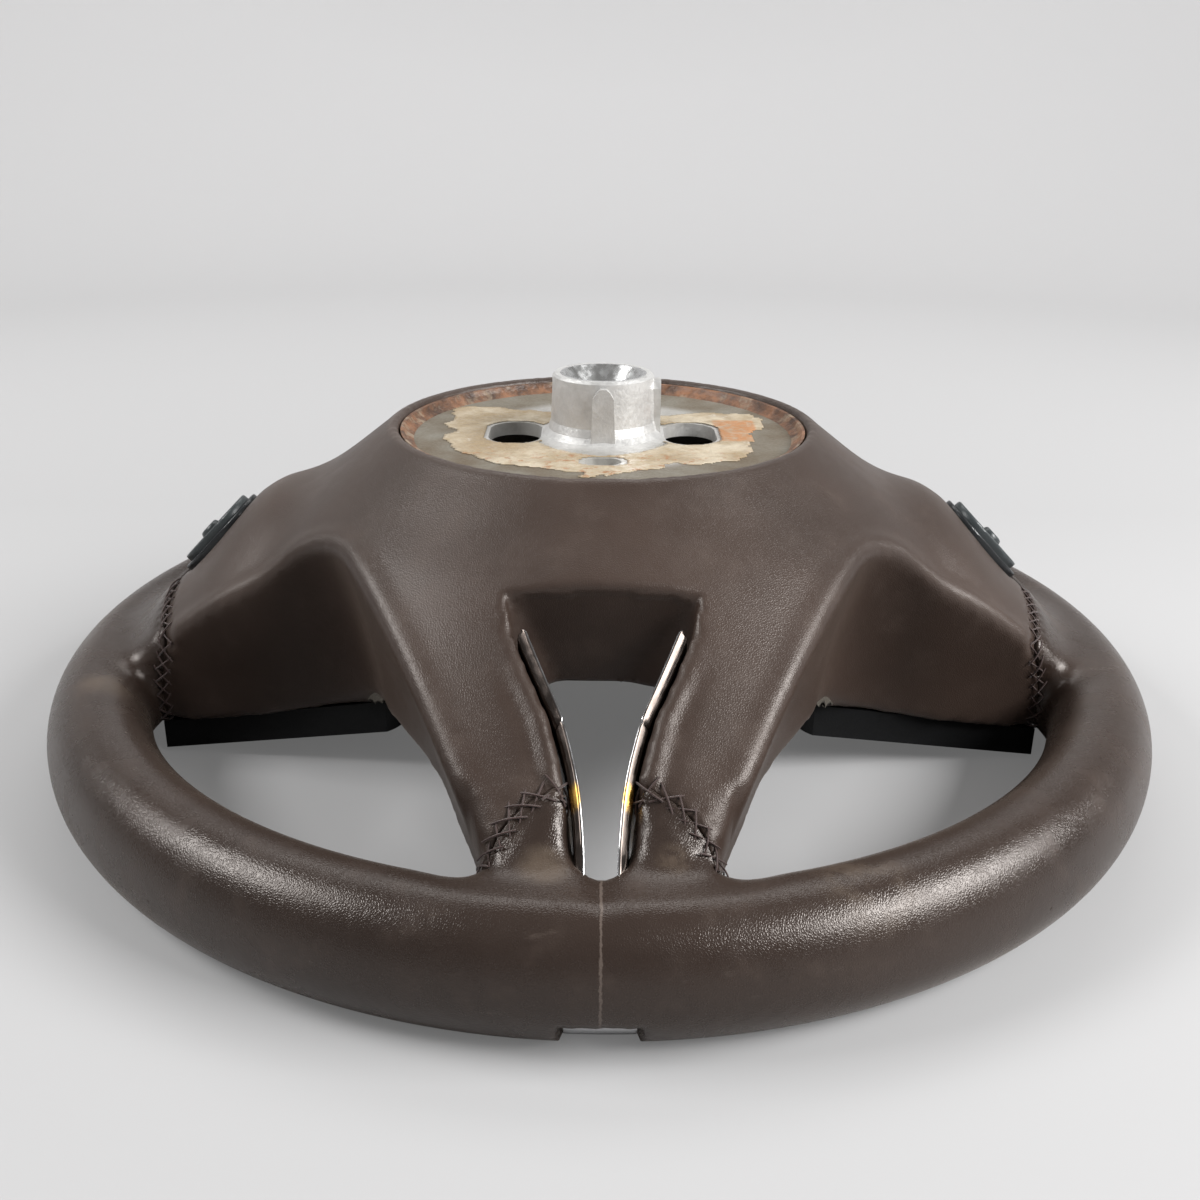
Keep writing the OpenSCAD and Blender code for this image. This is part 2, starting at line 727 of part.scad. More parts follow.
module pad_pin_right() {
    length = pad_d + 2 * (key_gap + 0.3 + ear_w);
    color("silver")
        on_face(pad_at)
            translate([0, -length / 2, pivot_depth]) rotate([-90, 0, 0]) cylinder(r = pin_r, h = length, $fn = 32);
}
module pad_pin_left() {
    mirror([1, 0, 0]) pad_pin_right();
}

module small_key(p) {
    flange = 1.2;
    color(black_colour)
        on_face(p) {
            translate([0, 0, -proud]) linear_extrude(proud + shell_t + 0.6) key_outline(0);
            translate([0, 0, shell_t + 0.3]) linear_extrude(flange) key_outline(1.2);
        }
}
module call_key_upper() {
    small_key(keys_at[0]);
}
module call_key_lower() {
    small_key(keys_at[1]);
}
module menu_key_upper() {
    mirror([1, 0, 0]) small_key(keys_at[0]);
}
module menu_key_lower() {
    mirror([1, 0, 0]) small_key(keys_at[1]);
}

screw_head_r = 3;
screw_sunk = 4;
module panel_screws() {
    color("dimgray")
        for (s = [0, 1], p = post_at)
            mirror([s, 0, 0])
                translate([p[0], p[1], face_z(p[0]) + screw_sunk]) {
                    cylinder(r = screw_r, h = side_front(p[0]) - face_z(p[0]) - screw_sunk + 10, $fn = 32);
                    mirror([0, 0, 1]) difference() {
                        cylinder(r1 = screw_head_r, r2 = screw_head_r - 0.5, h = 2.2, $fn = 48);
                        translate([0, 0, 1]) cylinder(r = 1.4, h = 2, $fn = 6);
                    }
                }
}

// Shift rockers let into the steep rear face of the side spokes

rocker_x = hub_r + 35;
rocker_at = [rocker_x, 3, hub_z - (rocker_x - hub_r) * spoke_drop + 9.655];
rocker_tilt = 46;
recess_d = 10;
bezel_edge = 2.4;
rocker_gap = 0.5;
module on_slope() {
    translate(rocker_at)
        rotate([0, rocker_tilt, 0])
            children();
}

module long_oval(length, width, grow) {
    r = width / 2;
    for (s = [-1, 1]) translate([s * (length / 2 - r), 0]) circle(r = r + grow, $fn = 48);
    square([length - 2 * r, width + 2 * grow], center = true);
}

module rocker_recess(grow) {
    for (s = [0, 1])
        mirror([s, 0, 0]) on_slope()
            translate([0, 0, -recess_d + grow])
                linear_extrude(recess_d + 14)
                    long_oval(rocker_l, rocker_w, rocker_gap + bezel_edge - grow);
}

module shift_bezel_right() {
    floor_t = 1.6;
    color(black_colour)
        on_slope()
            difference() {
                translate([0, 0, -recess_d + fit])
                    linear_extrude(recess_d - 1)
                        long_oval(rocker_l, rocker_w, rocker_gap + bezel_edge - fit);
                translate([0, 0, -recess_d + fit + floor_t])
                    linear_extrude(recess_d + 2)
                        long_oval(rocker_l, rocker_w, rocker_gap);
                translate([0, -rocker_w / 2 - 2, rocker_pivot]) rotate([-90, 0, 0])
                    cylinder(r = pin_r, h = rocker_w + 4, $fn = 32);
            }
}
module shift_bezel_left() {
    mirror([1, 0, 0]) shift_bezel_right();
}

rocker_pivot = -5;
rocker_h = 5.4;
module shift_rocker_right() {
    lift = 1.6;
    color([0.10, 0.105, 0.11])
        on_slope()
            difference() {
                union() {
                    translate([0, 0, -rocker_h + 1.8]) linear_extrude(rocker_h) long_oval(rocker_l, rocker_w, 0);
                    translate([-3.4, -rocker_w / 2 + 0.2, rocker_pivot - 2.4]) cube([6.8, rocker_w - 0.4, 5]);
                }
                translate([0, 0, 1.8 - lift]) linear_extrude(lift + past) long_oval(rocker_l, rocker_w, -2.2);
                translate([0, -rocker_w / 2 - 1, rocker_pivot]) rotate([-90, 0, 0])
                    cylinder(r = pin_r + pin_gap, h = rocker_w + 2, $fn = 32);
            }
    color([0.10, 0.105, 0.11])
        on_slope() {
            translate([2, 0, 0]) cylinder(r1 = 4.6, r2 = 3.6, h = 3.2, $fn = 48);
        }
}
module shift_rocker_left() {
    mirror([1, 0, 0]) shift_rocker_right();
}

module rocker_pin_right() {
    length = rocker_w + 3.4;
    color("silver")
        on_slope()
            translate([0, -length / 2, rocker_pivot]) rotate([-90, 0, 0]) cylinder(r = pin_r, h = length, $fn = 32);
}
module rocker_pin_left() {
    mirror([1, 0, 0]) rocker_pin_right();
}

armature();
spline_bush();
adhesive_ring();
hub_foam();
hub_leather();
rim_foam();
rim_leather();
upper_trim_left();
upper_trim_right();
lower_trim();
switch_panel_left();
switch_panel_right();
menu_pad();
menu_key_upper();
menu_key_lower();
volume_pad();
call_key_upper();
call_key_lower();
pad_pin_left();
pad_pin_right();
shift_bezel_left();
shift_bezel_right();
shift_rocker_left();
shift_rocker_right();
rocker_pin_left();
rocker_pin_right();
panel_screws();
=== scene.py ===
import math
import bmesh
import bpy
import numpy as np
from mathutils import Matrix, Vector


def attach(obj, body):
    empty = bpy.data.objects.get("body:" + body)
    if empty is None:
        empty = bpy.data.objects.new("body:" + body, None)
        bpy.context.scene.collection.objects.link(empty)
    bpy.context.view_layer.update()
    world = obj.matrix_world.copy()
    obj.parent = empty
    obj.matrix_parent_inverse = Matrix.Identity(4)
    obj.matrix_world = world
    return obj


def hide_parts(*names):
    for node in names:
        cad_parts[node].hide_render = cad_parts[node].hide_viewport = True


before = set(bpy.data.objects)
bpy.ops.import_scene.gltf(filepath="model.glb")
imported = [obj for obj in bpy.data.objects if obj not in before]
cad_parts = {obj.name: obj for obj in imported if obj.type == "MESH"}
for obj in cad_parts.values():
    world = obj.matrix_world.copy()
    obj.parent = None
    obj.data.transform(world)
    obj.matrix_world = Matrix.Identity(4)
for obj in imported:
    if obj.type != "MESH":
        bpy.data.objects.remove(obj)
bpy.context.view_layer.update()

# The stand-in studio: a pale seamless sweep that curves up all round the wheel,
# a softbox at either side of it and a broad weak one over its far side. The sweep's paper
# is painted paler towards its far side: painted light, as if more light fell there.
SWEEP_FLAT = 1.1
SWEEP_BEND = 0.7
SWEEP_WALL = 0.5
SWEEP_GREY = (0.395, 0.393, 0.395)
SWEEP_PAINTED_LIGHT = (0.72, 0.716, 0.72)
SWEEP_PAINTED_LIGHT_Y = (0.25, 1.6)
HAZE = 0.12
ROOM_LIGHT = (1.0, 0.985, 0.97, 1)
ROOM_STRENGTH = 0.26
LAMPS = {
    "left_softbox": dict(at=(-1.00, -0.12, 0.90), size=(0.60, 0.42), watts=11.0),
    "right_softbox": dict(at=(0.98, -0.42, 0.76), size=(0.85, 0.42), watts=23.0),
    "far_softbox": dict(at=(0.0, 0.75, 1.25), size=(1.4, 0.5), watts=6.0),
}
LAMPS_AIM = Vector((0, 0, 0.05))


def mesh_object(name, points, faces, smooth=True):
    mesh = bpy.data.meshes.new(name)
    mesh.from_pydata([tuple(p) for p in points], [], [tuple(f) for f in faces])
    mesh.polygons.foreach_set("use_smooth", [smooth] * len(mesh.polygons))
    piece = bpy.data.objects.new(name, mesh)
    bpy.context.scene.collection.objects.link(piece)
    return piece


def revolve(name, profile, steps, closed=False):
    """A surface turned about Z from (radius, height) points with the outside on their right."""
    turn = np.linspace(0, 2 * math.pi, steps, endpoint=False)
    points = [(r * math.cos(a), r * math.sin(a), z) for r, z in profile for a in turn]
    rows = len(profile) if closed else len(profile) - 1
    faces = []
    for k in range(rows):
        below, above = k * steps, (k + 1) % len(profile) * steps
        for i in range(steps):
            j = (i + 1) % steps
            faces.append((below + i, below + j, above + j, above + i))
    return mesh_object(name, points, faces)


def plain_material(name, color, roughness, **settings):
    made = bpy.data.materials.new(name)
    made.use_nodes = True
    shader = made.node_tree.nodes["Principled BSDF"]
    shader.inputs["Base Color"].default_value = (*color, 1)
    shader.inputs["Roughness"].default_value = roughness
    for socket, value in settings.items():
        shader.inputs[socket.replace("_", " ")].default_value = value
    return made


class Tree:
    """Short hands for building a node tree: make a node, set its plain sockets, link the rest."""

    def __init__(self, tree):
        self.tree = tree

    def add(self, kind, inputs=None, **settings):
        made = self.tree.nodes.new(kind)
        for name, value in settings.items():
            setattr(made, name, value)
        for socket, value in (inputs or {}).items():
            target = made.inputs[socket]
            if isinstance(value, bpy.types.NodeSocket):
                self.tree.links.new(value, target)
            elif target.type == "RGBA" and len(value) == 3:
                target.default_value = (*value, 1)
            else:
                target.default_value = value
        return made

    def feed(self, shader, **sockets):
        """Links values to a shader's sockets, whose names have an underscore for each space."""
        for name, value in sockets.items():
            self.tree.links.new(value, shader.inputs[name.replace("_", " ")])

    def axes(self, place):
        return self.add("ShaderNodeSeparateXYZ", {0: place}).outputs

    def math(self, operation, a, b=0.0):
        return self.add("ShaderNodeMath", {0: a, 1: b}, operation=operation).outputs[0]

    def times(self, first, *others):
        for other in others:
            first = self.math("MULTIPLY", first, other)
        return first

    def noise(self, place, scale, detail=3.0, roughness=0.5, distortion=0.0):
        made = self.add("ShaderNodeTexNoise", {"Vector": place, "Scale": scale, "Detail": detail,
                                               "Roughness": roughness, "Distortion": distortion})
        return made.outputs["Fac"]

    def window(self, value, low, high, start=0.0, end=1.0):
        made = self.add("ShaderNodeMapRange", {"Value": value, "From Min": low, "From Max": high,
                                               "To Min": start, "To Max": end},
                        interpolation_type="SMOOTHSTEP")
        return made.outputs["Result"]

    def blend(self, share, a, b):
        return self.add("ShaderNodeMix", {0: share, 6: a, 7: b}, data_type="RGBA").outputs[2]


bend = [(SWEEP_FLAT + SWEEP_BEND * math.sin(a), SWEEP_BEND * (1 - math.cos(a)))
        for a in np.linspace(0, math.pi / 2, 16)]
profile = [(0.00001, 0)] + bend + [(SWEEP_FLAT + SWEEP_BEND, SWEEP_BEND + SWEEP_WALL)]
sweep = revolve("studio_sweep", profile, 96)
sweep_paper = plain_material("sweep_paper", SWEEP_GREY, 0.9, Specular_IOR_Level=0.1,
                             Emission_Color=(1, 1, 1, 1))
paper = Tree(sweep_paper.node_tree)
shader = paper.tree.nodes["Principled BSDF"]
# Painted light: the paper's colour runs from the near grey to a paler far colour along y.
y = paper.axes(paper.add("ShaderNodeTexCoord").outputs["Object"])[1]
far = paper.add("ShaderNodeMapRange", {"Value": y, "From Min": SWEEP_PAINTED_LIGHT_Y[0], "From Max": SWEEP_PAINTED_LIGHT_Y[1]})
ray = paper.add("ShaderNodeLightPath").outputs["Is Camera Ray"]
paper.feed(shader, Base_Color=paper.blend(far.outputs["Result"], SWEEP_GREY, SWEEP_PAINTED_LIGHT),
           Emission_Strength=paper.times(ray, HAZE))
sweep.data.materials.append(sweep_paper)

for name, lamp in LAMPS.items():
    light = bpy.data.lights.new(name, "AREA")
    light.shape = "RECTANGLE"
    light.size, light.size_y = lamp["size"]
    light.energy = lamp["watts"]
    softbox = bpy.data.objects.new(name, light)
    softbox.location = lamp["at"]
    softbox.rotation_euler = (LAMPS_AIM - softbox.location).to_track_quat("-Z", "Y").to_euler()
    bpy.context.scene.collection.objects.link(softbox)

room = bpy.data.worlds.new("room_light")
bpy.context.scene.world = room
room.use_nodes = True
room.node_tree.nodes["Background"].inputs["Color"].default_value = ROOM_LIGHT
room.node_tree.nodes["Background"].inputs["Strength"].default_value = ROOM_STRENGTH
bpy.context.scene.view_settings.view_transform = "Standard"

# The camera stands in front of six o'clock, a little over the wheel and close to it,
# turned a touch left and rolled a touch, as the photograph was taken.
IMAGE_SIDE = 1200
FOCAL_PIXELS = 1276.56
CAMERA_AT = Vector((-0.00208, -0.43010, 0.21847))
PITCH, PAN, ROLL = 0.3824, 0.0041, 0.0104

level_right = Vector((math.cos(PAN), -math.sin(PAN), 0))
forward = Vector((math.sin(PAN) * math.cos(PITCH), math.cos(PAN) * math.cos(PITCH), -math.sin(PITCH)))
level_up = level_right.cross(forward)
right = math.cos(ROLL) * level_right + math.sin(ROLL) * level_up
up = math.cos(ROLL) * level_up - math.sin(ROLL) * level_right
lens = bpy.data.cameras.new("camera")
lens.sensor_width = 36
lens.lens = lens.sensor_width * FOCAL_PIXELS / IMAGE_SIDE
lens.clip_start = 0.01
camera = bpy.data.objects.new("camera", lens)
camera.matrix_world = Matrix((
    (right.x, up.x, -forward.x, CAMERA_AT.x),
    (right.y, up.y, -forward.y, CAMERA_AT.y),
    (right.z, up.z, -forward.z, CAMERA_AT.z),
    (0, 0, 0, 1)))
bpy.context.scene.collection.objects.link(camera)
bpy.context.scene.camera = camera

# Armature: one die casting of aluminium. Its hub plate still carries the torn skin of foam
# that crept over it in the mould, yellowed and lifted round the two windows.
CAST_GREY = (0.72, 0.715, 0.70)
CAST_STREAK = (0.60, 0.595, 0.58)
CAST_OLIVE = (0.125, 0.096, 0.062)
CAST_SALLOW = (0.20, 0.185, 0.15)
BOSS_CLEAN_Z = (0.1150, 0.1100)
PLATE_Z = 0.1075
LIP_R = 0.0692


def new_material(name, roughness=0.5, **settings):
    """An empty finish with its Principled BSDF, whose plain sockets are set here."""
    made = plain_material(name, (0.5, 0.5, 0.5), roughness, **settings)
    tree = Tree(made.node_tree)
    shader = made.node_tree.nodes["Principled BSDF"]
    place = tree.add("ShaderNodeTexCoord").outputs["Object"]
    return made, tree, shader, place


def effect_group(name, inputs, outputs):
    """A shader node group that several finishes share; inputs give each socket's kind and value."""
    group = bpy.data.node_groups.new(name, "ShaderNodeTree")
    for label, (kind, value) in inputs.items():
        socket = group.interface.new_socket(label, in_out="INPUT", socket_type="NodeSocket" + kind)
        if kind != "Vector":
            socket.default_value = value
    for label, kind in outputs.items():
        group.interface.new_socket(label, in_out="OUTPUT", socket_type="NodeSocket" + kind)
    tree = Tree(group)
    return tree, tree.add("NodeGroupInput").outputs


def fine_grain_group():
    """Fine grain between two shades, as on moulded plastic, cast foam and turned steel."""
    tree, given = effect_group("fine_grain", {
        "Vector": ("Vector", None), "Scale": ("Float", 1000.0), "Detail": ("Float", 3.0),
        "Roughness": ("Float", 0.5), "Dark": ("Color", (0, 0, 0, 1)), "Light": ("Color", (1, 1, 1, 1))},
        {"Color": "Color", "Height": "Float"})
    height = tree.noise(given["Vector"], given["Scale"], given["Detail"], given["Roughness"])
    color = tree.blend(height, given["Dark"], given["Light"])
    tree.add("NodeGroupOutput", {"Color": color, "Height": height})
    return tree.tree


fine_grain = fine_grain_group()


def grained(tree, shader, place, scale, dark, light, detail=3.0, roughness=0.5):
    """Colours a finish with the shared fine grain and gives back the grain's height."""
    made = tree.add("ShaderNodeGroup", {
        "Vector": place, "Scale": scale, "Detail": detail, "Roughness": roughness,
        "Dark": dark, "Light": light}, node_tree=fine_grain)
    tree.feed(shader, Base_Color=made.outputs["Color"])
    return made.outputs["Height"]


def bumped(tree, shader, height, distance, strength):
    """Gives a finish its fine relief; distance is the relief's full height in metres."""
    relief = tree.add("ShaderNodeBump", {"Height": height, "Distance": distance, "Strength": strength})
    tree.feed(shader, Normal=relief.outputs["Normal"])


def cast_alloy():
    """Dull die-cast aluminium, stained olive where foam and adhesive have lain on its plate."""
    made, tree, shader, place = new_material("cast_alloy", 0.5, Metallic=0.85)
    x, y, z = tree.axes(place)
    radius = tree.math("SQRT", tree.math("ADD", tree.math("POWER", x, 2.0), tree.math("POWER", y, 2.0)))
    mottle = tree.noise(place, 55, 5)
    grit = tree.noise(place, 900, 4)
    streak = tree.noise(place, 210, 6, 0.7, 0.4)
    below_boss = tree.window(z, *BOSS_CLEAN_Z)
    by_boss = tree.times(tree.window(radius, 0.0195, 0.0260), below_boss, tree.window(mottle, 0.25, 0.6))
    away = tree.times(below_boss, tree.window(radius, 0.034, 0.050))
    stained = tree.math("MAXIMUM", tree.times(by_boss, 0.55), away)
    bare = tree.blend(tree.window(streak, 0.3, 0.7), CAST_STREAK, CAST_GREY)
    stain = tree.blend(tree.window(mottle, 0.3, 0.7), CAST_OLIVE, CAST_SALLOW)
    rough = tree.math("ADD", tree.window(grit, 0.3, 0.7, 0.34, 0.52), tree.times(stained, 0.18))
    tree.feed(shader, Base_Color=tree.blend(stained, bare, stain), Roughness=rough,
              Metallic=tree.math("SUBTRACT", 0.55, tree.times(stained, 0.4)))
    bumped(tree, shader, tree.math("ADD", tree.times(grit, 0.5), streak), 0.00025, 0.7)
    return made


def dress(material, *nodes):
    """Gives CAD nodes a finish in their own material slots."""
    for name in nodes:
        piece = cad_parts[name]
        if not piece.material_slots:
            piece.data.materials.append(None)
        for place in piece.material_slots:
            place.link = "OBJECT"
            place.material = material


alloy = cast_alloy()
dress(alloy, "armature")

# Torn foam skin on the hub plate: a film of cream polyurethane a few tenths thick, its edge
# ragged where it broke off towards the lip, lying round the boss and the windows.
FILM_STEP = 0.0009
FILM_T = 0.0002
FILM_HALF = (0.0640, 0.0600)
FILM_REACH = ((11, 57), (29, 62), (39, 54), (47, 36), (60, 28), (105, 28), (121, 37), (132, 47), (142, 61),
              (150, 62), (163, 57.5), (180, 55), (202, 53.5), (222, 51), (241, 47.5), (265, 53.5),
              (275, 52.3), (297, 47.5), (319, 52), (335, 59), (348, 53.2))
FILM_BREAK = 0.014
FILM_LIFT = 0.0003
CREAM_DARK, CREAM_PALE = (0.33, 0.25, 0.15), (0.53, 0.46, 0.345)
FILM_BROWN, FILM_RUST, FILM_WHITE = (0.27, 0.19, 0.10), (0.30, 0.115, 0.03), (0.62, 0.59, 0.53)
MARK_ORANGE = (0.42, 0.19, 0.075)
MARK_X, MARK_Y, MARK_FADE = (0.0385, 0.0545), (-0.0105, 0.0200), 0.0015
POCKET_Y, POCKET_HALF, POCKET_R = -0.036, 0.0030, 0.0040
BOSS_FOOT_R = 0.0220
WINDOW_X, WINDOW_R, WINDOW_HALF = 0.030, 0.0098, 0.0150


def value_noise(x, y, cell, seed):
    """Smooth noise between 0 and 1 on a grid of random values."""
    grid = np.random.default_rng(seed).random((64, 64))
    u, v = x / cell + 32.37, y / cell + 32.71
    i, j = np.floor(u).astype(int), np.floor(v).astype(int)
    fu, fv = u - i, v - j
    fu, fv = fu * fu * (3 - 2 * fu), fv * fv * (3 - 2 * fv)
    i0, i1, j0, j1 = i % 64, (i + 1) % 64, j % 64, (j + 1) % 64
    low = grid[i0, j0] * (1 - fu) + grid[i1, j0] * fu
    high = grid[i0, j1] * (1 - fu) + grid[i1, j1] * fu
    return low * (1 - fv) + high * fv


def torn_film():
    """The film as a grid cut to a ragged outline, clear of boss, windows, pocket and lip."""
    steps_x, steps_y = (int(2 * half / FILM_STEP) for half in FILM_HALF)
    xs = np.linspace(-FILM_HALF[0], FILM_HALF[0], steps_x)
    ys = np.linspace(-FILM_HALF[1], FILM_HALF[1], steps_y)
    x, y = np.meshgrid(xs, ys, indexing="ij")
    radius = np.hypot(x, y)
    rag = 0.6 * value_noise(x, y, 0.013, 3) + 0.28 * value_noise(x, y, 0.005, 4)
    rag += 0.12 * value_noise(x, y, 0.002, 5)
    turn = np.degrees(np.arctan2(y, x)) % 360
    reach = np.interp(turn, [a for a, _ in FILM_REACH], [r for _, r in FILM_REACH], period=360) * 0.001
    foot = np.where(y < -0.012, BOSS_FOOT_R + 0.006 * (1 - np.abs(x) / 0.03), BOSS_FOOT_R)
    hole = np.hypot(np.maximum(np.abs(x) - POCKET_HALF, 0), y - POCKET_Y) - POCKET_R
    window = np.hypot(np.abs(x) - WINDOW_X, np.maximum(np.abs(y) - WINDOW_HALF + WINDOW_R, 0)) - WINDOW_R
    kept = (radius < reach + (rag - 0.5) * FILM_BREAK) & (radius - foot > 0.002 * rag) & (window > 0.0002)
    kept &= (radius < LIP_R - 0.005) & (hole > 0.0008 * rag)
    curl = FILM_LIFT * np.clip(1 - window / 0.003, 0, 1) * value_noise(x, y, 0.006, 8)
    lift = PLATE_Z + FILM_T * (0.6 + 1.2 * rag) + curl
    index = -np.ones(x.shape, int)
    cells = kept[:-1, :-1] & kept[1:, :-1] & kept[:-1, 1:] & kept[1:, 1:]
    points, faces = [], []

    def corner(i, j):
        if index[i, j] < 0:
            index[i, j] = len(points)
            points.append((x[i, j], y[i, j], lift[i, j]))
        return index[i, j]

    for i, j in zip(*np.nonzero(cells)):
        faces.append((corner(i, j), corner(i + 1, j), corner(i + 1, j + 1), corner(i, j + 1)))
    film = mesh_object("torn_foam_skin", points, faces)
    shell = film.modifiers.new("thickness", "SOLIDIFY")
    shell.thickness = FILM_T
    shell.offset = -1
    return film


def baked(piece):
    """Turns a piece's live modifiers into its mesh."""
    graph = bpy.context.evaluated_depsgraph_get()
    mesh = bpy.data.meshes.new_from_object(piece.evaluated_get(graph))
    piece.modifiers.clear()
    old = piece.data
    piece.data = mesh
    bpy.data.meshes.remove(old)
    mesh.name = piece.name
    return piece


def film_material():
    """Cream foam gone brown in blotches, with rusty flecks, pale spots and one orange mark."""
    made, tree, shader, place = new_material("torn_foam_skin", 0.55)
    blotch = tree.noise(place, 75, 5, 0.6)
    fine = tree.noise(place, 420, 4)
    cream = tree.blend(tree.window(blotch, 0.35, 0.65), CREAM_DARK, CREAM_PALE)
    brown = tree.window(tree.noise(place, 38, 3), 0.47, 0.66, 0, 0.75)
    color = tree.blend(brown, cream, FILM_BROWN)
    x, y, z = tree.axes(place)
    fleck = tree.window(tree.noise(place, 260, 5, 0.7), 0.52, 0.64)
    fleck = tree.times(fleck, tree.window(y, -0.016, -0.034))
    color = tree.blend(tree.times(fleck, 0.8), color, FILM_RUST)
    pale = tree.window(tree.noise(place, 130, 4, 0.7), 0.60, 0.72, 0, 0.6)
    color = tree.blend(pale, color, FILM_WHITE)
    mark = tree.window(fine, 0.3, 0.6, 0.35, 0.9)
    for along, (low, high) in ((x, MARK_X), (y, MARK_Y)):
        mark = tree.times(mark, tree.window(along, low, low + MARK_FADE),
                          tree.window(along, high, high - MARK_FADE))
    tree.feed(shader, Base_Color=tree.blend(mark, color, MARK_ORANGE),
              Roughness=tree.window(fine, 0.3, 0.7, 0.30, 0.65))
    bumped(tree, shader, tree.math("ADD", blotch, fine), 0.0006, 0.8)
    return made


film = baked(torn_film())
film.data.materials.append(film_material())
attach(film, "wheel")

# Splined bush: turned steel, bright zinc plated, cast into the boss; its cone seats the column.
zinc, tree, shader, place = new_material("plated_steel", 0.22, Metallic=1.0)
turned = grained(tree, shader, place, 320, (0.62, 0.62, 0.60), (0.82, 0.83, 0.84), 4)
tree.feed(shader, Roughness=tree.window(turned, 0.3, 0.7, 0.16, 0.34))
bumped(tree, shader, turned, 0.0001, 0.3)
dress(zinc, "spline_bush")

# Leather and foam of hub, spokes and rim: cowhide of 1.3 mm glued over moulded foam. Hub and rim
# have covers of their own that meet in a cross-stitched seam round the end of every spoke.
LIP_Z = 113.0
HUB_R, HUB_Z = 102.0, 90.0
RIM_R, RIM_A, RIM_B = 173.7, 16.3, 19.4
SPOKE_DROP = 0.833
SIDE_UP, SIDE_LOW, FOOT = 50.0, 56.0, 28.0
SPOKE_END = 171.0
SIDE_END_Y = (35.4, -38.2)
WINDOW_CORNER_X = 86.0
EDGE_R = 6.0
HUMP_X, HUMP_W, SWELL, SHELF, RIDGE_FALL = 122.0, 15.0, 10.0, 5.0, 5.0
ARCH = ((42, 24), (60, 35), (90, 40), (111, 40), (124, 37), (132, 30), (137, 26), (157, 12), (175, 9))
GAP = ((-100.5, 27), (-106, 25.5), (-111, 23.3), (-121, 18), (-131, 12.5), (-141, 9.2), (-148, 7.7),
       (-156, 6.9), (-158.5, 6.6), (-161.8, 0.4))
WALL_HEM_Z = 56.2
VOXEL = 1.45
OUTLINE_STEP = 1.7
LEATHER_T = 1.3
LOWER_SEAM_X = (10, 14, 18, 20.7, 23.5, 26, 28, 29.5)
LOWER_SEAM_R = (145.9, 147.4, 149.2, 151.2, 153.8, 156.3, 158.7, 160.5)
POCKET_FOLD = np.array([(-23.3, -111), (-25.5, -106), (-27, -100.5),
                        (27, -100.5), (25.5, -106), (23.3, -111)])


def ramp(low, high, value):
    t = np.clip((value - low) / (high - low), 0, 1)
    return t * t * (3 - 2 * t)


dome_r = np.linspace(0, 190, 761)
dome_z = np.interp(dome_r, [0, LIP_R * 1000 + 2, HUB_R * 0.77, HUB_R * 0.88, HUB_R, 190],
                   [LIP_Z + 6, LIP_Z, HUB_Z + 17.3, HUB_Z + 8.5, HUB_Z, HUB_Z - (190 - HUB_R) * SPOKE_DROP])
soft = np.exp(-0.5 * (np.arange(-24, 25) * 0.25 / 2.2) ** 2)
dome_z = np.convolve(np.pad(dome_z, 24, "edge"), soft / soft.sum(), "valid")


def rim_top(r):
    """Height of the rim's section over its inner half."""
    return RIM_B + RIM_B * np.sqrt(np.clip(1 - ((RIM_R - r) / RIM_A) ** 2, 0, 1))


def rear_height(x, y):
    """The rear face: dome and cone, the thumb humps of the side spokes, then down into the rim."""
    r = np.hypot(x, y)
    weight = ramp(HUB_R - 8, HUB_R + 12, np.abs(x)) * ramp(-95, -55, y)
    hump = SHELF + (SWELL - SHELF) * np.exp(-((np.abs(x) - HUMP_X) / HUMP_W) ** 2)
    rise = weight * ((hump + RIDGE_FALL) * (1 - (y / SIDE_UP) ** 2) - RIDGE_FALL)
    cone = np.interp(r, dome_r, dome_z) + rise
    joined = ramp(157, 173, r)
    return cone * (1 - joined) + rim_top(r) * joined


def front_height(x, y):
    side = 38.75 - 0.176 * np.abs(x)
    lower = np.interp(-y, [p[0] for p in ARCH], [p[1] for p in ARCH])
    share = ramp(-64, -52, y)
    return side * share + lower * (1 - share)


def gap_edge(y, line=GAP):
    """Half the gap's width at each y."""
    return np.interp(-y, [-end for end, _ in line], [half for _, half in line])


def on_arc(radius, start, stop, count):
    a = np.radians(np.linspace(start, stop, count))
    return np.stack([radius * np.cos(a), radius * np.sin(a)], 1)


def bend_between(a, corner, b, reach, count):
    """A rounded corner between the straight lines to a and to b."""
    a, corner, b = (np.asarray(p, float) for p in (a, corner, b))
    start = corner + (a - corner) / np.linalg.norm(a - corner) * reach
    stop = corner + (b - corner) / np.linalg.norm(b - corner) * reach
    t = np.linspace(0, 1, count)[:, None]
    return (1 - t) ** 2 * start + 2 * t * (1 - t) * corner + t * t * stop


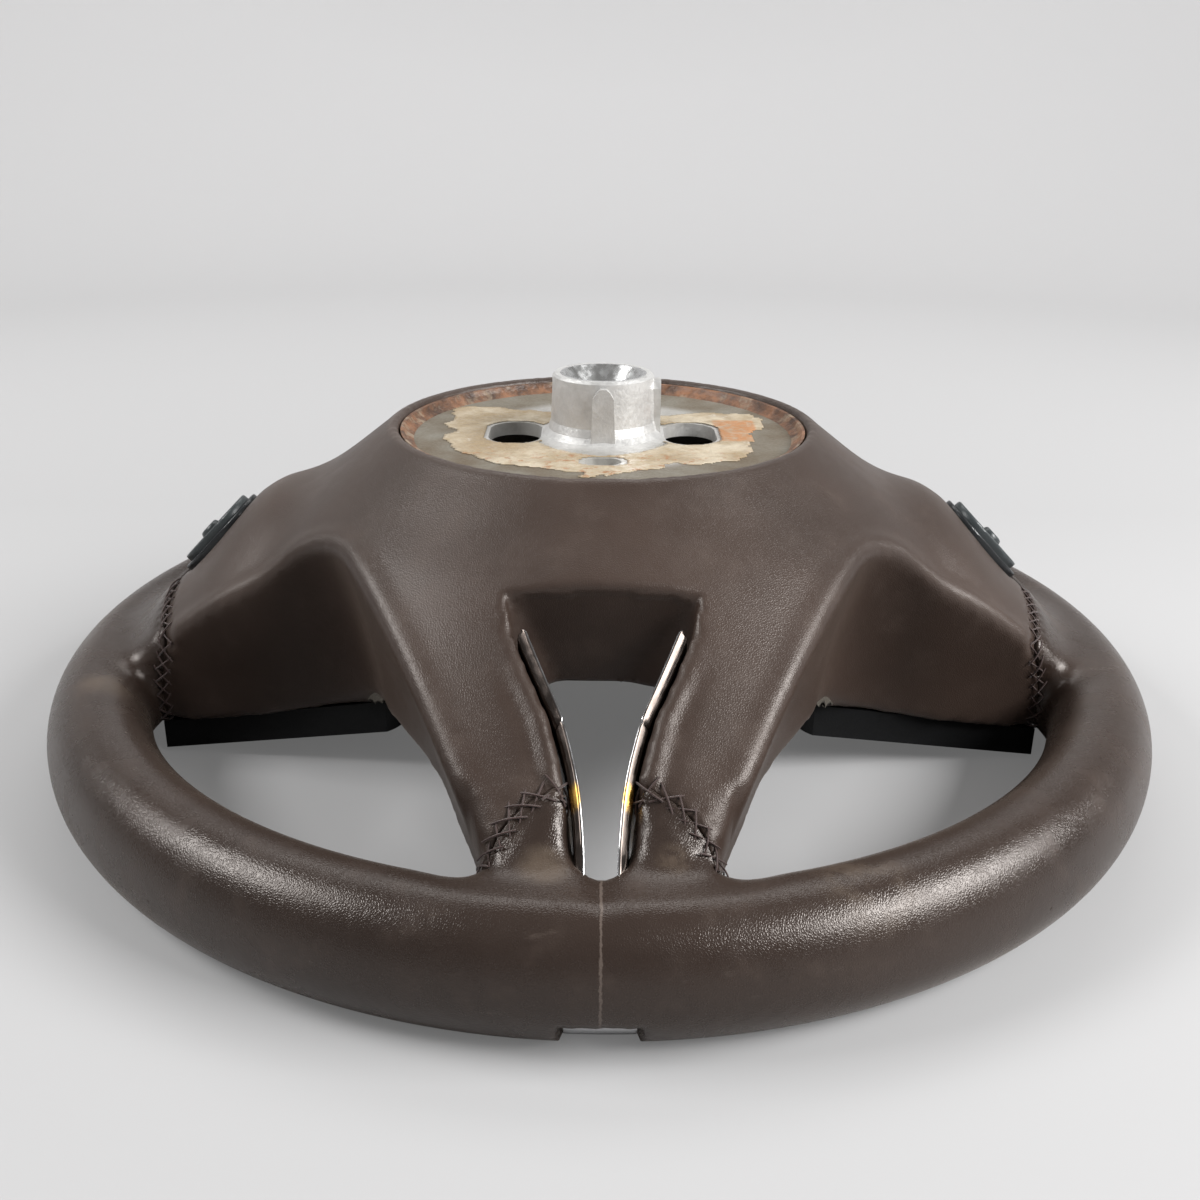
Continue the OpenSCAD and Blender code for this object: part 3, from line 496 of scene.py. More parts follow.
def spoke_plan(step):
    """Outline of hub and spokes seen along the axis, at an even step, with its inward normals."""
    shoulder_up = (math.sqrt(HUB_R ** 2 - SIDE_UP ** 2), SIDE_UP)
    shoulder_low = (WINDOW_CORNER_X, -SIDE_LOW)
    up_angle = math.degrees(math.atan2(SIDE_UP, shoulder_up[0]))
    end_up, end_low, foot_x = *SIDE_END_Y, FOOT * 0.86
    side_up_end = (math.sqrt(SPOKE_END ** 2 - end_up ** 2), end_up)
    side_low_end = (math.sqrt(SPOKE_END ** 2 - end_low ** 2), end_low)
    foot_end = (foot_x, -math.sqrt(SPOKE_END ** 2 - foot_x ** 2))
    arc_end = on_arc(HUB_R, up_angle + 9, up_angle + 9, 1)[0]
    half = np.concatenate([
        on_arc(HUB_R, 90, up_angle + 12, 40),
        bend_between(arc_end, shoulder_up, side_up_end, 14, 14),
        on_arc(SPOKE_END, math.degrees(math.atan2(end_up, side_up_end[0])),
               math.degrees(math.atan2(end_low, side_low_end[0])), 30),
        bend_between(side_low_end, shoulder_low, foot_end, 17, 16),
        on_arc(SPOKE_END, math.degrees(math.atan2(foot_end[1], foot_end[0])), -90, 12)])
    whole = np.concatenate([half, half[-2:0:-1] * (-1, 1)])
    closed = np.concatenate([whole, whole[:1]])
    along = np.concatenate([[0], np.cumsum(np.linalg.norm(np.diff(closed, axis=0), axis=1))])
    even = np.linspace(0, along[-1], int(along[-1] / step), endpoint=False)
    outline = np.stack([np.interp(even, along, closed[:, k]) for k in (0, 1)], 1)
    for _ in range(3):
        outline = (np.roll(outline, 1, 0) + 2 * outline + np.roll(outline, -1, 0)) / 4
    across = np.roll(outline, -2, 0) - np.roll(outline, 2, 0)
    inward = np.stack([across[:, 1], -across[:, 0]], 1)
    return outline, inward / np.linalg.norm(inward, axis=1)[:, None]


def lean_of(outline):
    """How far the side walls lean in towards the front, most in the windows' corners."""
    corner = np.hypot(np.abs(outline[:, 0]) - WINDOW_CORNER_X, outline[:, 1] + SIDE_LOW)
    lean = np.where(outline[:, 1] > 0, 4, 6 + 8 * np.exp(-(corner / 22) ** 2))
    return lean * ramp(SPOKE_END, SPOKE_END - 14, np.linalg.norm(outline, axis=1))


def spoke_solid():
    """Hub and spokes as one closed body, lofted from the axis over the rear and back along the front."""
    outline, inward = spoke_plan(OUTLINE_STEP)
    ray = outline / np.linalg.norm(outline, axis=1)[:, None]
    lean = lean_of(outline)[:, None]
    lip = LIP_R * 1000
    rings = []

    def ring(plan, height):
        rings.append(np.concatenate([plan, np.broadcast_to(height, (len(plan),))[:, None]], 1))

    for r, z in ((20, LIP_Z), (lip, LIP_Z - 0.2), (lip + 3, LIP_Z)):
        ring(ray * r, z)
    crown = outline + inward * EDGE_R
    for share in np.linspace(0, 1, 34):
        plan = ray * (lip + 5) * (1 - share) + crown * share
        ring(plan, rear_height(plan[:, 0], plan[:, 1]))
    crown_z = rear_height(crown[:, 0], crown[:, 1])
    for a in np.radians(np.linspace(10, 90, 9)):
        ring(outline + inward * EDGE_R * (1 - math.sin(a)), crown_z - EDGE_R * (1 - math.cos(a)))
    low = front_height(outline[:, 0], outline[:, 1])
    for share in np.linspace(1 / 14, 1, 14):
        plan = outline + inward * lean * (share + 0.6 * share * (1 - share))
        ring(plan, crown_z - EDGE_R + (low - crown_z + EDGE_R) * share)
    foot = outline + inward * lean
    for share in np.linspace(0.96, 0.2, 20):
        ring(foot * share, front_height(foot[:, 0] * share, foot[:, 1] * share))
    count = len(outline)
    points = np.concatenate(rings + [[[0, 0, LIP_Z]], [[0, 0, 24]]])
    faces = []
    for k in range(len(rings) - 1):
        for i in range(count):
            j = (i + 1) % count
            faces.append((k * count + i, (k + 1) * count + i, (k + 1) * count + j, k * count + j))
    last = (len(rings) - 1) * count
    for i in range(count):
        j = (i + 1) % count
        faces.append((len(points) - 2, i, j))
        faces.append((len(points) - 1, last + j, last + i))
    return mesh_object("spoke_solid", points, faces)


def prism(name, outline, low, high):
    """A closed upright prism over an outline given counter-clockwise."""
    count = len(outline)
    points = [(*p, low) for p in outline] + [(*p, high) for p in outline]
    faces = [tuple(reversed(range(count))), tuple(range(count, 2 * count))]
    faces += [(i, (i + 1) % count, count + (i + 1) % count, count + i) for i in range(count)]
    return mesh_object(name, points, faces, smooth=False)


def gap_tool():
    """What the keystone gap takes away, from the pocket behind the hub down to the rim."""
    half = [(x, y) for y, x in GAP]
    return prism("gap_tool", [(-x, y) for x, y in half] + list(reversed(half)), -5, 130)


def pocket_tool():
    """Under the pocket's wall the gap runs on towards the hub."""
    return prism("pocket_tool", [(-26, -104), (26, -104), (26, -78), (-26, -78)], -5, 60)


def hub_tool():
    """The opening inside the lip and the hollow in front of the hub plate."""
    lip = LIP_R * 1000
    profile = [(0.01, -5), (88, -5), (88, 93), (78, 101), (lip + 1, 106), (lip, 108), (lip, 130),
               (0.01, 130)]
    return revolve("hub_tool", profile, 180, closed=True)


# Shift rockers sit in ovals let into the steep rear face of the side spokes
ROCKER_AT = Vector((137, 3, 70.5))
ROCKER_TILT = math.radians(46)
ROCKER_L, ROCKER_W = 31.0, 20.0
RECESS_DEPTH, RECESS_EDGE = 10.0, 2.9


def on_slope(points, side):
    """Places points given on a rocker's own face; side is 1 right and -1 left."""
    turned = Matrix.Rotation(ROCKER_TILT, 3, "Y")
    placed = [turned @ Vector(p) + ROCKER_AT for p in points]
    return [(side * p.x, p.y, p.z) for p in placed]


def long_oval(length, width, grow):
    r = width / 2
    a = np.linspace(-math.pi / 2, math.pi / 2, 24)
    right_end = np.stack([length / 2 - r + (r + grow) * np.cos(a), (r + grow) * np.sin(a)], 1)
    return np.concatenate([right_end, -right_end])


def recess_tool(side):
    """The oval pocket that takes a rocker's surround."""
    outline = long_oval(ROCKER_L, ROCKER_W, RECESS_EDGE)
    count = len(outline)
    points = on_slope([(*p, -RECESS_DEPTH) for p in outline] + [(*p, 14) for p in outline], side)
    faces = [tuple(reversed(range(count))), tuple(range(count, 2 * count))]
    faces += [(i, (i + 1) % count, count + (i + 1) % count, count + i) for i in range(count)]
    if side < 0:
        faces = [tuple(reversed(f)) for f in faces]
    return mesh_object("recess_tool", points, faces, smooth=False)


def remeshed(piece, voxel):
    """Gives a piece one closed skin of small even faces."""
    skin = piece.modifiers.new("skin", "REMESH")
    skin.mode = "VOXEL"
    skin.voxel_size = voxel
    skin.use_smooth_shade = True
    return baked(piece)


def cut(body, tools):
    for tool in tools:
        step = body.modifiers.new(tool.name, "BOOLEAN")
        step.operation = "DIFFERENCE"
        step.object = tool
        step.solver = "MANIFOLD"
    baked(body)
    for tool in tools:
        bpy.data.objects.remove(tool)
    return body


def rim_torus():
    a = np.linspace(0, 2 * math.pi, 72, endpoint=False)
    section = list(zip(RIM_R + RIM_A * np.cos(a), RIM_B + RIM_B * np.sin(a)))
    return revolve("rim_torus", section, 720, closed=True)


def moulded_body():
    """Spokes and rim as one skin of even small faces."""
    spokes = cut(spoke_solid(), [gap_tool(), pocket_tool(), hub_tool(), recess_tool(1), recess_tool(-1)])
    rim = rim_torus()
    both = bmesh.new()
    both.from_mesh(spokes.data)
    both.from_mesh(rim.data)
    both.to_mesh(spokes.data)
    both.free()
    bpy.data.objects.remove(rim)
    return remeshed(spokes, VOXEL)


def coordinates(mesh):
    co = np.empty(len(mesh.vertices) * 3)
    mesh.vertices.foreach_get("co", co)
    return co.reshape(-1, 3)


def edge_pairs(mesh):
    pairs = np.empty(len(mesh.edges) * 2, int)
    mesh.edges.foreach_get("vertices", pairs)
    return pairs.reshape(-1, 2)


def smoothed(co, pairs, weight, rounds):
    """Moves each point towards the mean of its neighbours by its own weight."""
    ends = np.concatenate([pairs[:, 0], pairs[:, 1]])
    others = np.concatenate([pairs[:, 1], pairs[:, 0]])
    degree = np.bincount(ends, minlength=len(co))[:, None]
    weight = np.broadcast_to(weight, (len(co),))[:, None]
    for _ in range(rounds):
        mean = np.stack([np.bincount(ends, co[others, k], len(co)) for k in range(3)], 1) / degree
        co = co + (mean - co) * weight
    return co


def radius_of(co):
    return np.hypot(co[:, 0], co[:, 1])


def vertex_normals(co, triangles):
    a, b, c = co[triangles[:, 0]], co[triangles[:, 1]], co[triangles[:, 2]]
    face = np.cross(b - a, c - a)
    normal = np.stack([sum(np.bincount(triangles[:, i], face[:, k], len(co)) for i in range(3))
                       for k in range(3)], 1)
    return normal / np.maximum(np.linalg.norm(normal, axis=1), 1e-9)[:, None]


def seam_field(co):
    """Below 0 on the hub's cover and above 0 on the rim's, over the surface of a spoke."""
    x, y, z = np.abs(co[:, 0]), co[:, 1], co[:, 2]
    radius = np.hypot(x, y)
    side = radius - np.interp(z, [30, 38, 45, 60], [153.7, 152.4, 150.9, 151.3])
    reach = np.interp(x, LOWER_SEAM_X, LOWER_SEAM_R)
    reach = reach + (LOWER_SEAM_R[-1] - reach) * ramp(41, 35, z) * ramp(17, 23, x)
    beside = x - (31.0 + (160.5 - radius) * 0.39)
    lower = np.maximum(radius - reach, np.minimum(beside, radius - 150))
    return np.where(y < -90, lower, side)


def snapped(co, pairs, field, reach):
    """Slides points onto the field's zero along the mesh's edges, so that it runs through whole edges."""
    near = np.abs(field) < reach
    a, b = pairs[near[pairs].all(1)].T
    crossing = field[a] * field[b] < 0
    a, b = a[crossing], b[crossing]
    swap = np.abs(field[a]) > np.abs(field[b])
    a, b = np.where(swap, b, a), np.where(swap, a, b)
    share = field[a] / (field[a] - field[b])
    moved, field = co.copy(), field.copy()
    for i in np.argsort(-share):
        moved[a[i]] = co[a[i]] + (co[b[i]] - co[a[i]]) * share[i]
    field[a] = 0
    return moved, field


def folded(co, fold):
    """Sharpens the rounded edge between the rear face and the walls that stand on a line in plan."""
    nearest = np.full(len(co), 1e9)
    foot = co[:, :2].copy()
    for start, stop in zip(fold[:-1], fold[1:]):
        way = stop - start
        t = np.clip(((co[:, :2] - start) @ way) / (way @ way), 0, 1)
        point = start + t[:, None] * way
        gap = np.linalg.norm(co[:, :2] - point, axis=1)
        closer = gap < nearest
        nearest[closer], foot[closer] = gap[closer], point[closer]
    drop = rear_height(co[:, 0], co[:, 1]) - co[:, 2]
    soft = (nearest < 4) & (drop > -0.5) & (drop < 4) & (co[:, 2] > 60)
    lift = soft & (drop < nearest)
    inward = soft & ~lift
    strength = ramp(-112, -104, co[:, 1])
    co = co.copy()
    co[lift, 2] += (drop * strength)[lift]
    co[inward, :2] += ((foot - co[:, :2]) * strength[:, None])[inward]
    return co


body = moulded_body()
split = bmesh.new()
split.from_mesh(body.data)
bmesh.ops.triangulate(split, faces=split.faces)
split.to_mesh(body.data)
split.free()
co = coordinates(body.data)
pairs = edge_pairs(body.data)
tri = np.array([tuple(p.vertices) for p in body.data.polygons])

# The covers stretch smoothly over the joint of spoke and rim
radius = radius_of(co)
in_spoke = np.maximum(ramp(60, 44, np.abs(co[:, 1])), ramp(48, 34, np.abs(co[:, 0])) * (co[:, 1] < 0))
joint = ramp(146, 154, radius) * ramp(176, 168, radius) * in_spoke
co = smoothed(co, pairs, 0.5, 6)
co = smoothed(co, pairs, 0.55 * joint, 60)
off_gap = np.abs(co[:, 0]) - gap_edge(co[:, 1])
by_gap = (np.abs(off_gap) < 3.5) & (co[:, 1] < -108) & (co[:, 1] > -160)
co = smoothed(co, pairs, 0.5 * by_gap, 12)
co = folded(co, POCKET_FOLD)
co = smoothed(co, pairs, 0.25, 1)
normal = vertex_normals(co, tri)

# Beside the gap the leather rolls over a welt, and over the rim it draws in to a fold
off_gap = np.abs(co[:, 0]) - gap_edge(co[:, 1])
along = ramp(114, 130, -co[:, 1]) * ramp(152, 142, -co[:, 1]) * (normal[:, 2] > 0.3)
welt = 0.45 * np.exp(-((off_gap - 4.0) / 2.2) ** 2) - 0.55 * np.exp(-((off_gap - 8.6) / 2.2) ** 2)
dip = 0.7 * np.clip(1 - np.abs(co[:, 0]) / 5, 0, 1) * ramp(154, 161, -co[:, 1]) * ramp(184, 172, -co[:, 1])
co += normal * (welt * along - dip * (co[:, 2] > 18))[:, None]
normal = vertex_normals(co, tri)

# Six o'clock: the rim's front is cut in for the trim that crosses it
notch = (np.abs(co[:, 0]) < 9.75) & (co[:, 1] < -150) & (co[:, 2] < 12)
co[notch] -= normal[notch] * 3.3

# Seams and trimmed edges run through whole edges of the mesh
seam = seam_field(co)
co, seam = snapped(co, pairs, seam, 4 * VOXEL)
is_rim = seam[tri].mean(1) > 0
hem = co[:, 2] - front_height(co[:, 0], co[:, 1]) - 0.4
hem[(seam == 0) | (radius_of(co) < 90)] = 9
co, hem = snapped(co, pairs, hem, 4 * VOXEL)
in_pocket = (np.abs(co[:, 0]) < 25.2) & (co[:, 1] > -103.5) & (co[:, 1] < -70)
wall_hem = np.where(in_pocket, co[:, 2] - WALL_HEM_Z, 9)
co, wall_hem = snapped(co, pairs, wall_hem, 4 * VOXEL)


def piece_from(name, co, tri):
    """A new piece from some of the triangles, in metres."""
    used, index = np.unique(tri, return_inverse=True)
    return mesh_object(name, co[used] * 0.001, index.reshape(-1, 3).tolist())


def close_ends(piece, sink):
    """Folds every open edge in by a little and closes it."""
    work = bmesh.new()
    work.from_mesh(piece.data)
    work.verts.ensure_lookup_table()
    open_edges = [e for e in work.edges if e.is_boundary]
    grown = bmesh.ops.extrude_edge_only(work, edges=open_edges)["geom"]
    for v in (g for g in grown if isinstance(g, bmesh.types.BMVert)):
        flat = Vector((v.co.x, v.co.y, 0)).normalized()
        v.co += flat * sink
    work.edges.ensure_lookup_table()
    bmesh.ops.holes_fill(work, edges=[e for e in work.edges if e.is_boundary], sides=0)
    bmesh.ops.triangulate(work, faces=[f for f in work.faces if len(f.verts) > 4])
    bmesh.ops.recalc_face_normals(work, faces=work.faces)
    work.to_mesh(piece.data)
    work.free()
    piece.data.polygons.foreach_set("use_smooth", [True] * len(piece.data.polygons))
    return piece


normal = vertex_normals(co, tri)
centre = co[tri].mean(1)
radius = radius_of(centre)
under = (hem[tri].mean(1) < 0) | (wall_hem[tri].mean(1) < 0)
inner_edge_z = np.interp(radius, [68, 70, 78, 89], [108.3, 107.3, 102.5, 94.5])
inside = (radius < 90) & (centre[:, 2] < inner_edge_z)


def seam_lines(tri, is_rim, kept):
    """Chains of points along which a kept hub triangle meets a rim triangle."""

    def sides(part):
        return {tuple(sorted((t[i], t[i - 1]))) for t in part.tolist() for i in range(3)}

    beside = (seam[tri] == 0).any(1)
    next_to = {}
    for a, b in sides(tri[beside & is_rim]) & sides(tri[beside & kept]):
        next_to.setdefault(a, []).append(b)
        next_to.setdefault(b, []).append(a)
    chains = []
    while next_to:
        ends = [p for p, others in next_to.items() if len(others) == 1]
        here = min(ends) if ends else min(next_to)
        chain = [here]
        while next_to.get(here):
            there = next_to[here].pop()
            next_to[there].remove(here)
            if not next_to[here]:
                del next_to[here]
            here = there
            chain.append(here)
        next_to.pop(here, None)
        chains.append(np.array(chain))
    return [c for c in chains if len(c) > 12]


def even_path(points, step):
    """The same path through evenly spaced points, freed of the mesh's small steps."""
    for _ in range(10):
        points[1:-1] = points[1:-1] / 2 + (points[:-2] + points[2:]) / 4
    length = np.concatenate([[0], np.cumsum(np.linalg.norm(np.diff(points[:, :3], axis=0), axis=1))])
    even = np.linspace(0, length[-1], max(int(length[-1] / step), 2))
    return np.stack([np.interp(even, length, points[:, k]) for k in range(points.shape[1])], 1)


def thinned(piece, ratio):
    """Keeps a share of a piece's faces, where its form needs no more."""
    thin = piece.modifiers.new("fewer_faces", "DECIMATE")
    thin.ratio = ratio
    return baked(piece)


# Grooves at the seams, where both covers are drawn in, and a pucker at every needle hole
STITCH_PITCH, STITCH_WIDTH = 4.9, 6.2
STITCH_OVERLAP = 1.4
PATH_STEP = 0.5
groove = 0.9 * np.exp(-(seam / 1.6) ** 2)
groove[np.abs(seam) > 8] = 0
shaped = co - normal * groove[:, None]
stitch_paths = []
holes = []
for chain in seam_lines(tri, is_rim, ~is_rim & ~under & ~inside):
    path = even_path(np.concatenate([shaped[chain], normal[chain]], 1), PATH_STEP)
    under_surround = (np.abs(path[:, 0]) > 100) & (path[:, 1] > -6) & (path[:, 1] < 13)
    in_gap = (np.abs(path[:, 0]) < 9.5) & (path[:, 2] < 50) & (path[:, 1] < -100)
    covered = under_surround | in_gap
    for part in np.split(np.arange(len(path)), np.nonzero(np.diff(covered))[0] + 1):
        if covered[part[0]] or len(part) < 2 * STITCH_PITCH:
            continue
        line = path[part[6:-6]]
        count = int(round(len(line) * PATH_STEP / STITCH_PITCH)) + 1
        stitch_paths.append((line, count))
        at = np.linspace(0, len(line) - 1, 2 * count - 1)[1::2].astype(int)
        tangent = np.gradient(line[:, :3], axis=0)
        across = np.cross(line[:, 3:], tangent)
        across /= np.linalg.norm(across, axis=1)[:, None]
        holes += [line[at, :3] + across[at] * STITCH_WIDTH / 2 * s for s in (1, -1)]
for hole in np.concatenate(holes):
    apart = np.linalg.norm(shaped - hole, axis=1)
    close = apart < 6
    shaped[close] -= normal[close] * (0.55 * np.exp(-(apart[close] / 1.9) ** 2))[:, None]

hub_cover = piece_from("hub_cover", shaped, tri[~is_rim & ~under & ~inside])
hide = hub_cover.modifiers.new("leather", "SOLIDIFY")
hide.thickness = LEATHER_T * 0.001
hide.offset = -1
thinned(hub_cover, 0.8)

rim_cover = piece_from("rim_cover", shaped, tri[is_rim])
close_ends(rim_cover, 0.002)

core = co - normal * (LEATHER_T + 1.7)
core[in_pocket, 2] = np.maximum(core[in_pocket, 2], WALL_HEM_Z + 2.5)
floor = np.where(radius_of(core) > 90, front_height(core[:, 0], core[:, 1]) + 2.6, -9)
core[:, 2] = np.maximum(core[:, 2], floor)
foam = piece_from("moulded_foam", core, tri[~is_rim])
close_ends(foam, -0.001)
thinned(foam, 0.35)
bpy.data.objects.remove(body)


LEATHER_DEEP, LEATHER_WARM = (0.034, 0.0215, 0.0165), (0.052, 0.034, 0.0265)
LEATHER_WORN = (0.090, 0.064, 0.051)
RUBBED_TAN, SCUFFED_TAN, BUTT_TAN = (0.20, 0.150, 0.105), (0.13, 0.105, 0.09), (0.17, 0.135, 0.115)
RUBBED = (((-0.0140, -0.1610, 0.038), 0.009, 0.28), ((0.0180, -0.1600, 0.040), 0.006, 0.35),
          ((0.0650, -0.1640, 0.036), 0.016, 0.25), ((-0.1600, -0.0560, 0.036), 0.012, 0.25))


def rim_wear(tree, place, color, rough, blotch, wrinkle):
    """What use has done to the rim: rubbed spots below the seams, scuffs, the butt seam's line."""
    x, y, z = tree.axes(place)
    for at, size, strength in RUBBED:
        away = tree.add("ShaderNodeVectorMath", {0: place, 1: at}, operation="DISTANCE").outputs["Value"]
        spot = tree.times(tree.window(away, size, size * 0.3), tree.window(blotch, 0.35, 0.6, 0, strength))
        color = tree.blend(spot, color, RUBBED_TAN)
        rough = tree.math("ADD", rough, tree.times(spot, 0.25))
    drawn_out = tree.add("ShaderNodeMapping", {"Vector": place, "Scale": (60, 260, 260)}).outputs[0]
    streak = tree.noise(drawn_out, 1.0, 4, 0.7)
    scuff = tree.times(tree.window(streak, 0.60, 0.70), tree.window(blotch, 0.45, 0.65))
    rough = tree.math("SUBTRACT", rough, tree.times(scuff, 0.10))
    color = tree.blend(tree.times(scuff, 0.22), color, SCUFFED_TAN)
    wander = tree.times(tree.math("SUBTRACT", wrinkle, 0.5), 0.0012)
    line = tree.window(tree.math("ABSOLUTE", tree.math("ADD", x, wander)), 0.00045, 0.00015)
    butt = tree.times(line, tree.window(y, -0.160, -0.164), 0.55)
    return tree.blend(butt, color, BUTT_TAN), rough


def leather_group():
    """Brown grain leather: broad and small blotches of colour, pores and fine wrinkles."""
    tree, given = effect_group("grain_leather", {
        "Vector": ("Vector", None), "Pore Scale": ("Float", 1500.0), "Wrinkle Scale": ("Float", 700.0),
        "Deep": ("Color", (*LEATHER_DEEP, 1)), "Warm": ("Color", (*LEATHER_WARM, 1)),
        "Worn": ("Color", (*LEATHER_WORN, 1))},
        {"Color": "Color", "Blotch": "Float", "Wrinkle": "Float", "Height": "Float"})
    place = given["Vector"]
    broad = tree.noise(place, 14, 4, 0.55)
    blotch = tree.noise(place, 70, 4, 0.6)
    pore = tree.add("ShaderNodeTexVoronoi", {"Vector": place, "Scale": given["Pore Scale"]},
                    feature="DISTANCE_TO_EDGE")
    wrinkle = tree.noise(place, given["Wrinkle Scale"], 4, 0.6, 0.3)
    color = tree.blend(tree.window(broad, 0.3, 0.7), given["Deep"], given["Warm"])
    color = tree.blend(tree.window(blotch, 0.52, 0.8, 0, 0.28), color, given["Worn"])
    grain = tree.window(pore.outputs["Distance"], 0.0, 0.35)
    grain = tree.math("ADD", grain, tree.times(wrinkle, 1.2))
    tree.add("NodeGroupOutput", {"Color": color, "Blotch": blotch, "Wrinkle": wrinkle, "Height": grain})
    return tree.tree


grain_leather = leather_group()


def leather_material(name, wear):
    """Brown grain leather. wear is how far the rim's polish and scuffs show."""
    made, tree, shader, place = new_material(
        name, 0.45, Sheen_Weight=0.10, Sheen_Roughness=0.4, Sheen_Tint=(0.80, 0.66, 0.56, 1),
        Specular_IOR_Level=0.52, Specular_Tint=(1.0, 0.93, 0.88, 1))
    shade = 1 - 0.35 * wear
    hide = tree.add("ShaderNodeGroup", {
        "Vector": place, "Pore Scale": 1500.0, "Wrinkle Scale": 700.0, "Worn": LEATHER_WORN,
        "Deep": [c * shade for c in LEATHER_DEEP], "Warm": [c * shade for c in LEATHER_WARM]},
        node_tree=grain_leather)
    color, blotch, wrinkle, grain = (hide.outputs[k] for k in ("Color", "Blotch", "Wrinkle", "Height"))
    rough = tree.window(blotch, 0.25, 0.75, 0.34 - 0.13 * wear, 0.44 - 0.12 * wear)
    if wear:
        color, rough = rim_wear(tree, place, color, rough, blotch, wrinkle)
    tree.feed(shader, Base_Color=color, Roughness=rough)
    bumped(tree, shader, grain, 0.00007, 0.5)
    return made


hub_cover.data.materials.append(leather_material("spoke_leather", 0.0))
rim_cover.data.materials.append(leather_material("rim_leather", 1.0))
foam_grey, tree, shader, place = new_material("foam", 0.85)
pores = grained(tree, shader, place, 700, (0.050, 0.043, 0.034), (0.100, 0.088, 0.070), 5, 0.7)
bumped(tree, shader, pores, 0.0004, 0.8)
foam.data.materials.append(foam_grey)
for piece, node, finish in ((hub_cover, "hub_leather", "spoke_leather"),
                            (rim_cover, "rim_leather", "rim_leather"), (foam, "hub_foam", "foam")):
    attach(piece, "wheel")
    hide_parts(node)
dress(foam_grey, "rim_foam")

# Seam thread: dark red-brown twisted thread sewn crosswise from hole to hole over each seam,
# by hand, so that no two stitches are quite alike.
THREAD_R = 0.00027
STITCH_LEAST, STITCH_MOST = (0.98, 0.86, 0.9), (1.08, 1.10, 1.25)


def stitch_tree(finish):
    """Node tree: crossed stitches along a curve that carries its surface's normals."""
    tree = bpy.data.node_groups.new("crossed_stitches", "GeometryNodeTree")
    face = tree.interface
    face.new_socket("Geometry", in_out="INPUT", socket_type="NodeSocketGeometry")
    for name, value in (("Pitch", 0.007), ("Width", 0.0062), ("Thread Radius", THREAD_R),
                        ("Crown", 0.0014)):
        face.new_socket(name, in_out="INPUT", socket_type="NodeSocketFloat").default_value = value
    face.new_socket("Count", in_out="INPUT", socket_type="NodeSocketInt").default_value = 8
    face.new_socket("Seed", in_out="INPUT", socket_type="NodeSocketInt").default_value = 1
    face.new_socket("Geometry", in_out="OUTPUT", socket_type="NodeSocketGeometry")
    g = Tree(tree)
    given = g.add("NodeGroupInput").outputs
    path = g.add("GeometryNodeMeshToCurve", {"Mesh": given["Geometry"]}).outputs["Curve"]
    path = g.add("GeometryNodeResampleCurve", {"Curve": path, "Count": given["Count"]}).outputs["Curve"]
    half_p, half_w = g.times(given["Pitch"], 0.5), g.times(given["Width"], 0.5)
    deep = g.times(given["Thread Radius"], 0.6)
    round_bar = g.add("GeometryNodeCurvePrimitiveCircle", {"Resolution": 6, "Radius": given["Thread Radius"]})
    arms = []
    for side, crown in ((1.0, 1.0), (-1.0, 1.6)):
        ends = []
        for end in (-1.0, 1.0):
            ends.append(g.add("ShaderNodeCombineXYZ", {
                0: g.times(half_p, end), 1: g.times(half_w, end * side), 2: deep}).outputs[0])
        top = g.add("ShaderNodeCombineXYZ", {2: g.times(given["Crown"], 1.2 * crown)})
        arm = g.add("GeometryNodeCurveQuadraticBezier", {
            "Resolution": 8, "Start": ends[0], "Middle": top.outputs[0], "End": ends[1]})
        arms.append(g.add("GeometryNodeCurveToMesh", {
            "Curve": arm.outputs[0], "Profile Curve": round_bar.outputs[0], "Fill Caps": True}).outputs[0])
    cross = g.add("GeometryNodeJoinGeometry")
    for arm in arms:
        tree.links.new(arm, cross.inputs[0])
    normal = g.add("GeometryNodeInputNamedAttribute", {"Name": "surface_normal"},
                   data_type="FLOAT_VECTOR").outputs["Attribute"]
    along = g.add("GeometryNodeInputTangent").outputs[0]
    turn = g.add("FunctionNodeAxesToRotation", {"Primary Axis": normal, "Secondary Axis": along},
                 primary_axis="Z", secondary_axis="X").outputs[0]
    vary = g.add("FunctionNodeRandomValue", {
        0: STITCH_LEAST, 1: STITCH_MOST, "Seed": given["Seed"]}, data_type="FLOAT_VECTOR").outputs[0]
    placed = g.add("GeometryNodeInstanceOnPoints", {
        "Points": path, "Instance": cross.outputs[0], "Rotation": turn, "Scale": vary}).outputs[0]
    solid = g.add("GeometryNodeRealizeInstances", {0: placed}).outputs[0]
    solid = g.add("GeometryNodeSetShadeSmooth", {"Geometry": solid}).outputs[0]
    done = g.add("GeometryNodeSetMaterial", {"Geometry": solid, "Material": finish}).outputs[0]
    g.add("NodeGroupOutput", {"Geometry": done})
    return tree


